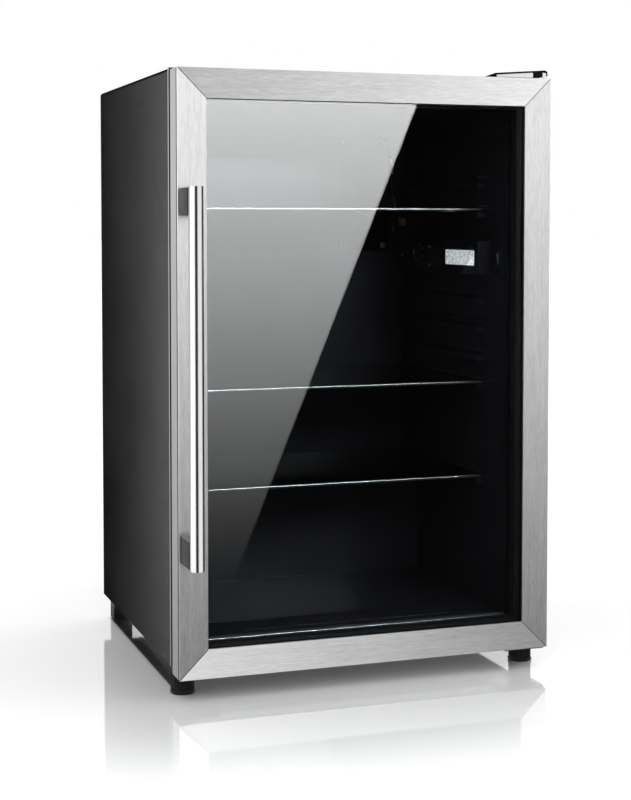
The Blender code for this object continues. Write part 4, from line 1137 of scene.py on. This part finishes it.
    def add_glare(self, shop: "Workshop") -> None:
        """The slanting window that the outer pane mirrors, placed by the mirrored line of sight."""
        pane_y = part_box("glass_outer")[0].y
        eye = Vector(self.camera_place)
        (upper_x, upper_z), (lower_x, lower_z) = self.window_edge
        slope = (upper_x - lower_x) / (upper_z - lower_z)
        top, bottom, left = self.window_top, self.window_bottom, self.window_left
        corners = []
        for x, z in (
            (left, top), (upper_x + slope * (top - upper_z), top),
            (lower_x + slope * (bottom - lower_z), bottom), (left, bottom),
        ):
            on_pane = Vector((x, pane_y, z))
            sight = on_pane - eye
            mirrored = Vector((sight.x, -sight.y, sight.z))
            corners.append(on_pane + mirrored * ((self.window_y - pane_y) / mirrored.y))
        low, high = min(c.z for c in corners), max(c.z for c in corners)
        shape = bmesh.new()
        shape.faces.new([shape.verts.new(corner) for corner in corners])
        glow = Glow("window")
        along = glow.between(glow.part(glow.place(), "Z"), low + 0.12 * (high - low), high, 0.0, 1.0)
        glow.shine(along**1.6, self.window_power)
        put_reflector("window", shape, glow, [shop.find("glass_outer_shaped")])


# ---------------------------------------------------------------- sub-assemblies
@dataclass
class Cabinet:
    """Painted shell, base, rear panel and the bay at the back."""

    screw_radius: float = 3.6 * MM
    screw_pitch: float = 150 * MM
    screw_inset: float = 9 * MM
    middle_screw_x: float = 90 * MM
    edge_width: float = 0.9 * MM
    edge_start: float = 0.6 * MM
    edge_end: float = 5 * MM
    edge_proud: float = 0.2 * MM

    def build(self, shop: Workshop) -> None:
        """Refine the sheet metal and add the fasteners."""
        shop.furnish(
            Body.CABINET,
            ("outer_shell", CABINET_BLACK, 0.4 * MM, 1, 50.0),
            ("front_frame", JOINT_BLACK),
            ("rear_panel", CABINET_BLACK, 0.3 * MM, 1, 50.0),
            ("base_pan", CABINET_BLACK, 0.3 * MM, 1, 50.0),
            ("bay_shroud", ZINC, 0.3 * MM, 1, 50.0),
            ("cord_gland", SEAL_BLACK, 0.4 * MM, 2, 50.0),
            ("insulation_foam", FOAM),
            ("condenser_coil", COPPER),
        )
        self.add_front_edge(shop)
        self.add_rear_screws(shop)

    def add_front_edge(self, shop: Workshop) -> None:
        """The cabinet's front edge as a strip of bright metal, a painted highlight along the folded edge of
        the black shell.
        """
        low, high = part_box("outer_shell")
        proud = self.edge_proud
        shape = bmesh.new()
        bar = eased_bar(self.edge_width, low.y + self.edge_start, low.y + self.edge_end, 0.3 * MM)
        framed_loop(shape, high.x + proud, low.z - proud, high.z + proud, bar)
        shop.piece("front_edge", shape, PAINTED_HIGHLIGHT_METAL, Body.CABINET)

    def add_rear_screws(self, shop: Workshop) -> None:
        """Screws round the rear panel."""
        low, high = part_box("rear_panel")
        inset = self.screw_inset
        shape = bmesh.new()
        rows = int((high.z - low.z) / self.screw_pitch) + 1
        for side in (low.x + inset, high.x - inset):
            for row in range(rows):
                z = low.z + inset + row * (high.z - low.z - 2 * inset) / (rows - 1)
                cross_screw(shape, (side, high.y, z), BACKWARD, self.screw_radius)
        for x in (-self.middle_screw_x, self.middle_screw_x):
            for z in (high.z - inset, low.z + inset):
                cross_screw(shape, (x, high.y, z), BACKWARD, self.screw_radius)
        shop.piece("rear_screws", shape, ZINC, Body.CABINET)


@dataclass
class CompressorBay:
    """The refrigeration parts in the open bay at the back."""

    bolt_inset_x: float = 8 * MM
    bolt_inset_y: float = 9 * MM
    washer_radius: float = 7 * MM
    washer_bore: float = 4.4 * MM
    head_radius: float = 5 * MM
    head_height: float = 4 * MM

    def build(self, shop: Workshop) -> None:
        """Dress and refine the parts."""
        shop.furnish(
            Body.CABINET,
            ("compressor_shell", POT_BLACK, 0.8 * MM, 2, 25.0),
            ("compressor_base", ZINC, 0.6 * MM),
            ("compressor_mount_left", SEAL_BLACK),
            ("compressor_mount_right", SEAL_BLACK),
            ("starter_box", PLASTIC_BLACK),
            ("condensate_tray", PLASTIC_BLACK, 0.8 * MM),
            ("drain_tube", PLASTIC_GREY),
            ("filter_drier", COPPER, 1.0 * MM, 3, 20.0),
            ("discharge_pipe", COPPER),
            ("suction_pipe", COPPER),
        )
        self.add_mount_bolts(shop)

    def add_mount_bolts(self, shop: Workshop) -> None:
        """A bolt with its washer at each corner of the compressor's base."""
        low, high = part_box("compressor_base")
        thick, lifted = 1 * MM, 1.2 * MM
        washer = [
            (0, 0), (self.washer_radius, 0), (self.washer_radius, thick), (self.washer_bore, thick),
            (self.washer_bore, lifted), (0, lifted),
        ]
        radius = self.head_radius
        shape = bmesh.new()
        for x in (low.x + self.bolt_inset_x, high.x - self.bolt_inset_x):
            for y in (low.y + self.bolt_inset_y, high.y - self.bolt_inset_y):
                lathe(shape, washer, (x, y, high.z), UP, 24)
                head = bmesh.ops.create_cone(
                    shape, cap_ends=True, segments=6, radius1=radius, radius2=radius, depth=self.head_height,
                )["verts"]
                centre_z = high.z + lifted + self.head_height / 2
                bmesh.ops.translate(shape, vec=(x, y, centre_z), verts=head)
        shop.piece("mount_bolts", shape, ZINC, Body.CABINET)


@dataclass
class Interior:
    """Tub, cooling plate and the small parts on the back wall."""

    standoff_radius: float = 5 * MM
    standoff_inset: float = 9 * MM
    standoff_x: float = 310 * MM
    lip_radius: float = 5 * MM
    lip_flat: float = 1 * MM
    lip_behind_edge: float = 4 * MM
    lip_height: float = 16 * MM
    clip_width: float = 10 * MM
    clip_height: float = 15 * MM

    def build(self, shop: Workshop) -> None:
        """Refine the tub and plate, then add the fixings."""
        body, tube = Body.CABINET, "capillary_tube"
        shop.refine("inner_liner", LINER_BLACK, body, 1.2 * MM)
        shop.refine("evaporator_plate", PLATE_DARK, body, 0.7 * MM, 3, 40.0)
        shop.piece("capillary_sleeve", merged_copy(tube, False), SLEEVE, body, (tube,))
        self.add_standoffs(shop)
        self.add_clip(shop)
        self.add_lip(shop)

    def add_lip(self, shop: Workshop) -> None:
        """The rounded glossy lip along the front of the tub's floor."""
        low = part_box("inner_liner")[0]
        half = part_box("control_housing")[1].x
        centre = (0.0, low.y + self.lip_behind_edge, low.z + self.lip_height)
        radius, flat = self.lip_radius, self.lip_flat
        profile = [
            (0, -half), (radius - flat, -half), (radius, flat - half), (radius, half - flat),
            (radius - flat, half), (0, half),
        ]
        shape = bmesh.new()
        lathe(shape, profile, centre, RIGHT, 24)
        shop.piece("floor_lip", shape, LIP_BLACK, Body.CABINET)

    def add_standoffs(self, shop: Workshop) -> None:
        """Clips that hold the cooling plate off the wall."""
        low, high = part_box("evaporator_plate")
        front = high.y - 1.6 * MM
        radius = self.standoff_radius
        profile = [
            (0, 0), (radius, 0), (radius, 0.8 * MM), (radius * 0.8, 1.8 * MM), (radius * 0.35, 2.2 * MM),
            (radius * 0.3, 1.4 * MM), (0, 1.4 * MM),
        ]
        shape = bmesh.new()
        inset = self.standoff_inset
        for x in (low.x + self.standoff_x, high.x - inset):
            for z in (low.z + inset, high.z - inset):
                lathe(shape, profile, (x, front, z), FORWARD, 20)
        shop.piece("plate_standoffs", shape, PLASTIC_GREY, Body.CABINET)

    def add_clip(self, shop: Workshop) -> None:
        """The saddle clip that holds the capillary tube to the back wall."""
        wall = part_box("control_housing")[1]
        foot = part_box("capillary_tube")[0].z + 10 * MM
        left, right = wall.x - self.clip_width, wall.x - 0.2 * MM
        proud = 0.8 * MM
        shape = bmesh.new()
        block(shape, (left, wall.y - 5 * MM, foot), (right, wall.y + 7.6 * MM, foot + self.clip_height))
        round_edges(shape, 1.2 * MM, 3)
        rib_low = (left - proud, wall.y - 5 * MM - proud, foot + 6 * MM)
        eased_block(shape, rib_low, (right, wall.y + 6 * MM, foot + 9 * MM), 0.6 * MM)
        shop.piece("capillary_clip", shape, CLIP_BROWN, Body.CABINET)


@dataclass
class Controls:
    """Lamp and thermostat housing on the right wall, with its knob and the rocker switch."""

    flute_count: int = 21
    knob_ribs: int = 28
    flute_depth: float = 0.7 * MM
    rib_depth: float = 0.6 * MM
    grip_height: float = 6.6 * MM
    shaft_radius: float = 3 * MM
    half_bar: float = 1.6 * MM
    dot_count: int = 7
    dot_ring: float = 1.3
    screw_radius: float = 3.0 * MM
    screw_spread: float = 14 * MM

    def build(self, shop: Workshop) -> None:
        """Refine the housing and make the lens, the knob and the screws."""
        shop.furnish(
            Body.CABINET,
            ("control_housing", HOUSING_BLACK, 2.0 * MM, 3),
            ("thermostat", ZINC),
            ("lamp_board", BOARD),
            ("light_switch_bezel", HOUSING_BLACK, 0.8 * MM),
        )
        shop.refine("light_switch_rocker", PLASTIC_GREY, Body.LIGHT_ROCKER, 0.7 * MM)
        self.add_lens(shop)
        self.add_knob(shop)
        self.add_screws(shop)

    def add_lens(self, shop: Workshop) -> None:
        """Lamp cover with upright flutes on its face."""
        low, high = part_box("lamp_lens")
        shape = bmesh.new()
        block(shape, low, high)
        pitch = (high.y - low.y) / self.flute_count
        for index in range(1, self.flute_count):
            bmesh.ops.bisect_plane(
                shape, geom=shape.verts[:] + shape.edges[:] + shape.faces[:],
                plane_co=(0, low.y + index * pitch, 0), plane_no=(0, 1, 0),
            )
        for vert in shape.verts:
            step = round((vert.co.y - low.y) / pitch)
            if vert.co.x < (low.x + high.x) / 2 and step % 2:
                vert.co.x += self.flute_depth
        round_edges(shape, 0.2 * MM, 1, 60.0)
        shop.piece("lamp_lens_fluted", shape, LENS_LIT, Body.CABINET, ("lamp_lens",))

    def add_knob(self, shop: Workshop) -> None:
        """Thermostat knob with a ribbed grip, a bar to turn it by and a white line."""
        low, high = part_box("thermostat_knob")
        centre = Vector((high.x, (low.y + high.y) / 2, (low.z + high.z) / 2))
        radius = (high.y - low.y) / 2
        face_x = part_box("control_housing")[0].x
        shape = bmesh.new()
        seat = Vector((face_x - 0.3 * MM, centre.y, centre.z))
        ribbed_disc(shape, seat, LEFT, radius, self.rib_depth, self.knob_ribs, self.grip_height)
        reach = high.x - seat.x
        shaft = [(0, 0), (self.shaft_radius, 0), (self.shaft_radius, reach), (0, reach)]
        lathe(shape, shaft, centre, LEFT, 20)
        half = self.half_bar
        bar_low = (low.x, centre.y - half, centre.z - radius * 0.72)
        eased_block(shape, bar_low, (seat.x - 5 * MM, centre.y + half, centre.z + radius * 0.72), 0.5 * MM)
        shop.piece("thermostat_knob_ribbed", shape, HOUSING_BLACK, Body.COLD_KNOB, ("thermostat_knob",))

        mark = bmesh.new()
        block(
            mark, (low.x - 0.1 * MM, centre.y - 0.5 * MM, centre.z + radius * 0.25),
            (low.x + 0.4 * MM, centre.y + 0.5 * MM, centre.z + radius * 0.66),
        )
        round_edges(mark, 0.1 * MM, 1)
        shop.piece("knob_mark", mark, PLASTIC_WHITE, Body.COLD_KNOB)

        dots = bmesh.new()
        ring = radius * self.dot_ring
        for step in range(self.dot_count):
            angle = math.radians(-135 + step * 45)
            spot = (face_x, centre.y + math.sin(angle) * ring, centre.z + math.cos(angle) * ring)
            size = (0.5 + 0.13 * step) * MM
            lathe(dots, [(0, 0), (size, 0), (size * 0.8, 0.3 * MM), (0, 0.3 * MM)], spot, LEFT, 12)
        shop.piece("cold_scale_dots", dots, PLASTIC_WHITE, Body.CABINET)

    def add_screws(self, shop: Workshop) -> None:
        """Two screws by the knob and one ahead of the lens."""
        low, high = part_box("control_housing")
        knob_low, knob_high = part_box("thermostat_knob")
        knob_y = (knob_low.y + knob_high.y) / 2
        middle, spread = (low.z + high.z) / 2, self.screw_spread
        ahead, behind = knob_y - 42 * MM, knob_y + 70 * MM
        shape = bmesh.new()
        for y, z in ((ahead, middle + spread), (ahead, middle - spread), (behind, middle)):
            cross_screw(shape, (low.x, y, z), LEFT, self.screw_radius)
        shop.piece("housing_screws", shape, ZINC, Body.CABINET)


@dataclass
class Shelves:
    """Glass shelves with bright front trims."""

    bodies: tuple[Body, ...] = (Body.SHELF_LOW, Body.SHELF_MIDDLE, Body.SHELF_HIGH)

    def build(self, shop: Workshop) -> None:
        """Round the edges of the glass and of the trims."""
        for number, body in enumerate(self.bodies, start=1):
            shop.refine(f"shelf_glass_{number}", SMOKED_GLASS, body, 0.6 * MM)
            shop.refine(f"shelf_trim_{number}", TRIM_BRIGHT, body, 1.6 * MM, 3)


@dataclass
class Feet:
    """Ribbed levelling feet in front and moulded feet behind."""

    rib_count: int = 30
    rib_depth: float = 0.9 * MM
    knob_top: float = 26.7 * MM
    stem_radius: float = 4 * MM
    thread_turns: int = 11

    def build(self, shop: Workshop) -> None:
        """Make each foot."""
        for side, body in (("left", Body.FOOT_LEFT), ("right", Body.FOOT_RIGHT)):
            self.add_levelling_foot(shop, side, body)
            shop.refine("foot_rear_" + side, PLASTIC_GREY, Body.CABINET, 0.4 * MM, 1, 60.0)

    def add_levelling_foot(self, shop: Workshop, side: str, body: Body) -> None:
        """A ribbed knob on a threaded stem, with a flared pad under it."""
        node = "foot_front_" + side
        low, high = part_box(node)
        middle = (low + high) / 2
        radius = (high.x - low.x) / 2
        shape = bmesh.new()
        pad = [
            (0, 0), (radius - 1.6 * MM, 0), (radius, 1.2 * MM), (radius, 3.2 * MM),
            (radius - 1.2 * MM, 5 * MM), (0, 5 * MM),
        ]
        lathe(shape, pad, (middle.x, middle.y, low.z), UP, 48)
        seat = Vector((middle.x, middle.y, 4.6 * MM))
        length = self.knob_top - 5.2 * MM
        ribbed_disc(shape, seat, UP, radius - 1.2 * MM, self.rib_depth, self.rib_count, length)
        stem, root = self.stem_radius, self.stem_radius * 0.86
        profile = [(0, self.knob_top - 1 * MM), (root, self.knob_top - 1 * MM)]
        pitch = (high.z - self.knob_top - 1 * MM) / self.thread_turns
        for turn in range(self.thread_turns):
            start = self.knob_top + turn * pitch
            profile += [(root, start), (stem, start + pitch * 0.5)]
        profile += [(root, high.z - 1 * MM), (stem * 0.6, high.z), (0, high.z)]
        lathe(shape, profile, (middle.x, middle.y, 0), UP, 24)
        shop.piece(node + "_ribbed", shape, PLASTIC_BLACK, body, (node,))


@dataclass
class Hinges:
    """Brackets, pins and the cap over the top hinge."""

    screw_radius: float = 4.0 * MM
    screw_inset: float = 14 * MM
    cap_taper: float = 21 * MM
    wedge_foot: float = -2.6 * MM
    wedge_proud: float = 0.3 * MM
    post_width: float = 15 * MM

    def build(self, shop: Workshop) -> None:
        """Refine the sheet-metal parts and add their screws."""
        shop.furnish(
            Body.CABINET,
            ("bottom_hinge_bracket", ZINC, 0.5 * MM, 2, 50.0),
            ("corner_bracket_left", POT_BLACK, 0.5 * MM, 2, 50.0),
            # The left corner bracket is in black paint, not zinc like the hinge brackets: painted shade under
            # the cabinet's left front corner.
            ("top_hinge_bracket", ZINC, 0.5 * MM, 2, 50.0),
            ("bottom_hinge_pin", ZINC, 0.6 * MM, 2, 50.0),
            ("top_hinge_pin", ZINC, 0.6 * MM, 2, 50.0),
        )
        self.add_bracket_screws(shop)
        self.add_cap(shop)
        self.add_cap_highlight_wedges(shop)

    def add_cap(self, shop: Workshop) -> None:
        """The low cap over the top hinge, which narrows towards the back."""
        low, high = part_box("top_hinge_cover")
        right = high.x - 2 * MM
        outline = (
            (low.x - 4 * MM, 0.0), (right, 0.0), (right, 5.4 * MM), (right - 1.2 * MM, 7.4 * MM),
            (right - 4 * MM, 8.4 * MM), (low.x + 1 * MM, 2.8 * MM),
        )
        shape = bmesh.new()
        back = slab(shape, [(x, low.y, low.z + z) for x, z in outline], high.y - low.y)
        narrow = [vert for vert in back if vert.co.x < low.x + 5 * MM]
        bmesh.ops.translate(shape, vec=(self.cap_taper, 0.0, 0.0), verts=narrow)
        round_edges(shape, 0.6 * MM, 2)
        shop.piece("top_hinge_cap", shape, BACKING_BLACK, Body.CABINET, ("top_hinge_cover",))

    def add_cap_highlight_wedges(self, shop: Workshop) -> None:
        """Bright metal wedges just proud of the cap's front, either side of its dark post: a painted
        highlight on the black cap.
        """
        low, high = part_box("top_hinge_cover")
        foot = self.wedge_foot
        start, end = low.x + 3 * MM, high.x - 4.6 * MM
        post = high.x - 25 * MM
        beyond = post + self.post_width
        depth = 0.8 * MM
        shape = bmesh.new()
        # Each outline is one wedge of the painted highlight.
        for outline in (
            ((start, foot), (post, foot), (post, 4.6 * MM), (start, 0.2 * MM)),
            ((beyond, foot), (end, foot), (end, 4.4 * MM), (beyond, 5.0 * MM)),
        ):
            place = low.y - self.wedge_proud + depth
            slab(shape, [(x, place, low.z + z) for x, z in outline], -depth)
        round_edges(shape, 0.15 * MM, 1)
        shop.piece("cover_slots", shape, PAINTED_HIGHLIGHT_METAL, Body.CABINET)

    def add_bracket_screws(self, shop: Workshop) -> None:
        """Screws up through the two lower brackets."""
        shape = bmesh.new()
        for node in ("bottom_hinge_bracket", "corner_bracket_left"):
            low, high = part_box(node)
            under = high.z - 2 * MM
            for x in (low.x + self.screw_inset, high.x - self.screw_inset):
                cross_screw(shape, (x, high.y - 12 * MM, under), DOWN, self.screw_radius)
        shop.piece("bracket_screws", shape, ZINC, Body.CABINET)


@dataclass
class Door:
    """Stainless-faced glass door with its seal and bar handle."""

    seal_width: float = 16 * MM
    facing_width: float = 39.5 * MM
    joint_width: float = 0.6 * MM
    joint_depth: float = 0.46 * MM
    joint_margin: float = 0.5 * MM
    handle_recess: float = 1.2 * MM

    def build(self, shop: Workshop) -> None:
        """Refine the facings, frame and panes, and make the seal and handle."""
        body = Body.DOOR
        for side in ("left", "right", "top", "bottom"):
            finish = STILE_STEEL if side in ("left", "right") else RAIL_STEEL
            shop.refine("door_facing_" + side, finish, body, 0.45 * MM)
        # The backing's darkest black is painted shade in the reveal behind the facings.
        self.add_ring(shop, "door_backing", BACKING_BLACK, 0.5 * MM)
        shop.refine("door_core", DOOR_SILVER, body, 0.8 * MM, 2, 50.0, whole_faces=False)
        shop.refine("glass_outer", CLEAR_GLASS, body, 0.5 * MM, 1)
        shop.refine("glass_inner", INNER_GLASS, body, 0.5 * MM, 1)
        self.add_ring(shop, "glass_spacer", SPACER_ALUMINIUM, 0.6 * MM)
        self.add_ring(shop, "door_inner_frame", PLASTIC_BLACK, 1.6 * MM)
        shop.furnish(body, ("hinge_bushing_top", PLASTIC_WHITE), ("hinge_bushing_bottom", PLASTIC_WHITE))
        self.add_mitre_joints(shop)
        self.add_seal(shop)
        self.add_handle(shop)

    def add_mitre_joints(self, shop: Workshop) -> None:
        """The thin dark joint line in each corner of the facings."""
        low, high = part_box("door_facing_top")
        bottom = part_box("door_facing_bottom")[0].z
        half, margin = self.joint_width / 2, self.joint_margin
        shape = bmesh.new()
        for x, z, up in ((low.x, bottom, 1), (high.x, bottom, 1), (low.x, high.z, -1), (high.x, high.z, -1)):
            inward = -math.copysign(1.0, x)
            run = Vector((inward, 0.0, up))
            across = Vector((-up, 0.0, inward)).normalized() * half
            corner = Vector((x, low.y + 0.4 * MM, z))
            start, end = corner + run * margin, corner + run * (self.facing_width - margin)
            slab(shape, (start - across, end - across, end + across, start + across), -self.joint_depth)
        shop.piece("mitre_joints", shape, JOINT_BLACK, Body.DOOR)

    def add_ring(self, shop: Workshop, node: str, finish: Finish, ease: float) -> None:
        """Stand a mitred ring with rounded edges in for a ring of the frame."""
        low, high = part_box(node)
        opening = min(abs(vert.co.x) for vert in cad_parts[node].data.vertices)
        shape = bmesh.new()
        framed_loop(shape, high.x, low.z, high.z, eased_bar(high.x - opening, low.y, high.y, ease))
        shop.piece(node + "_eased", shape, finish, Body.DOOR, (node,))

    def add_seal(self, shop: Workshop) -> None:
        """Bellows seal with a flat magnet face and a lip on each side."""
        low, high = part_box("door_gasket")
        width = self.seal_width
        front, depth = low.y, high.y - low.y
        side = (
            (0.10, 0.0), (0.10, 0.22), (0.0, 0.34), (0.07, 0.46), (0.0, 0.6), (0.03, 0.86), (0.14, 1.0),
        )
        profile = [(inset * width, front + back_by * depth) for inset, back_by in side]
        profile += [((1.0 - inset) * width, front + back_by * depth) for inset, back_by in reversed(side)]
        shape = bmesh.new()
        framed_loop(shape, high.x, low.z, high.z, profile)
        shop.piece("door_seal", shape, SEAL_BLACK, Body.DOOR, ("door_gasket",))

    def add_handle(self, shop: Workshop) -> None:
        """Bar with turned ends, and its posts."""
        low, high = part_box("handle_tube")
        middle = (low + high) / 2
        radius = (high.x - low.x) / 2
        ease = 0.9 * MM
        recess = self.handle_recess
        end = (
            (0.0, recess), (radius * 0.72, recess), (radius * 0.76, 0.0), (radius - ease, 0.0),
            (radius - ease * 0.3, ease * 0.3), (radius, ease),
        )
        profile = [(out, low.z + along) for out, along in end]
        profile += [(out, high.z - along) for out, along in reversed(end)]
        shape = bmesh.new()
        lathe(shape, profile, (middle.x, middle.y, 0), UP, 64)
        shop.piece("handle_bar", shape, HANDLE_STEEL, Body.DOOR, ("handle_tube",))
        for place in ("bottom", "top"):
            shop.refine("handle_post_" + place, PLASTIC_BLACK, Body.DOOR, 1.2 * MM, 3, 50.0)


def main() -> None:
    """Set the stage, then build each sub-assembly in order."""
    logging.basicConfig(level=logging.INFO, format="%(name)s: %(message)s")
    shop = Workshop()
    for assembly in (Cabinet(), CompressorBay(), Interior(), Controls(), Shelves(), Feet(), Hinges(), Door()):
        LOG.info("building %s", type(assembly).__name__)
        assembly.build(shop)
    Studio().build(shop)


if __name__ == "__main__":
    main()
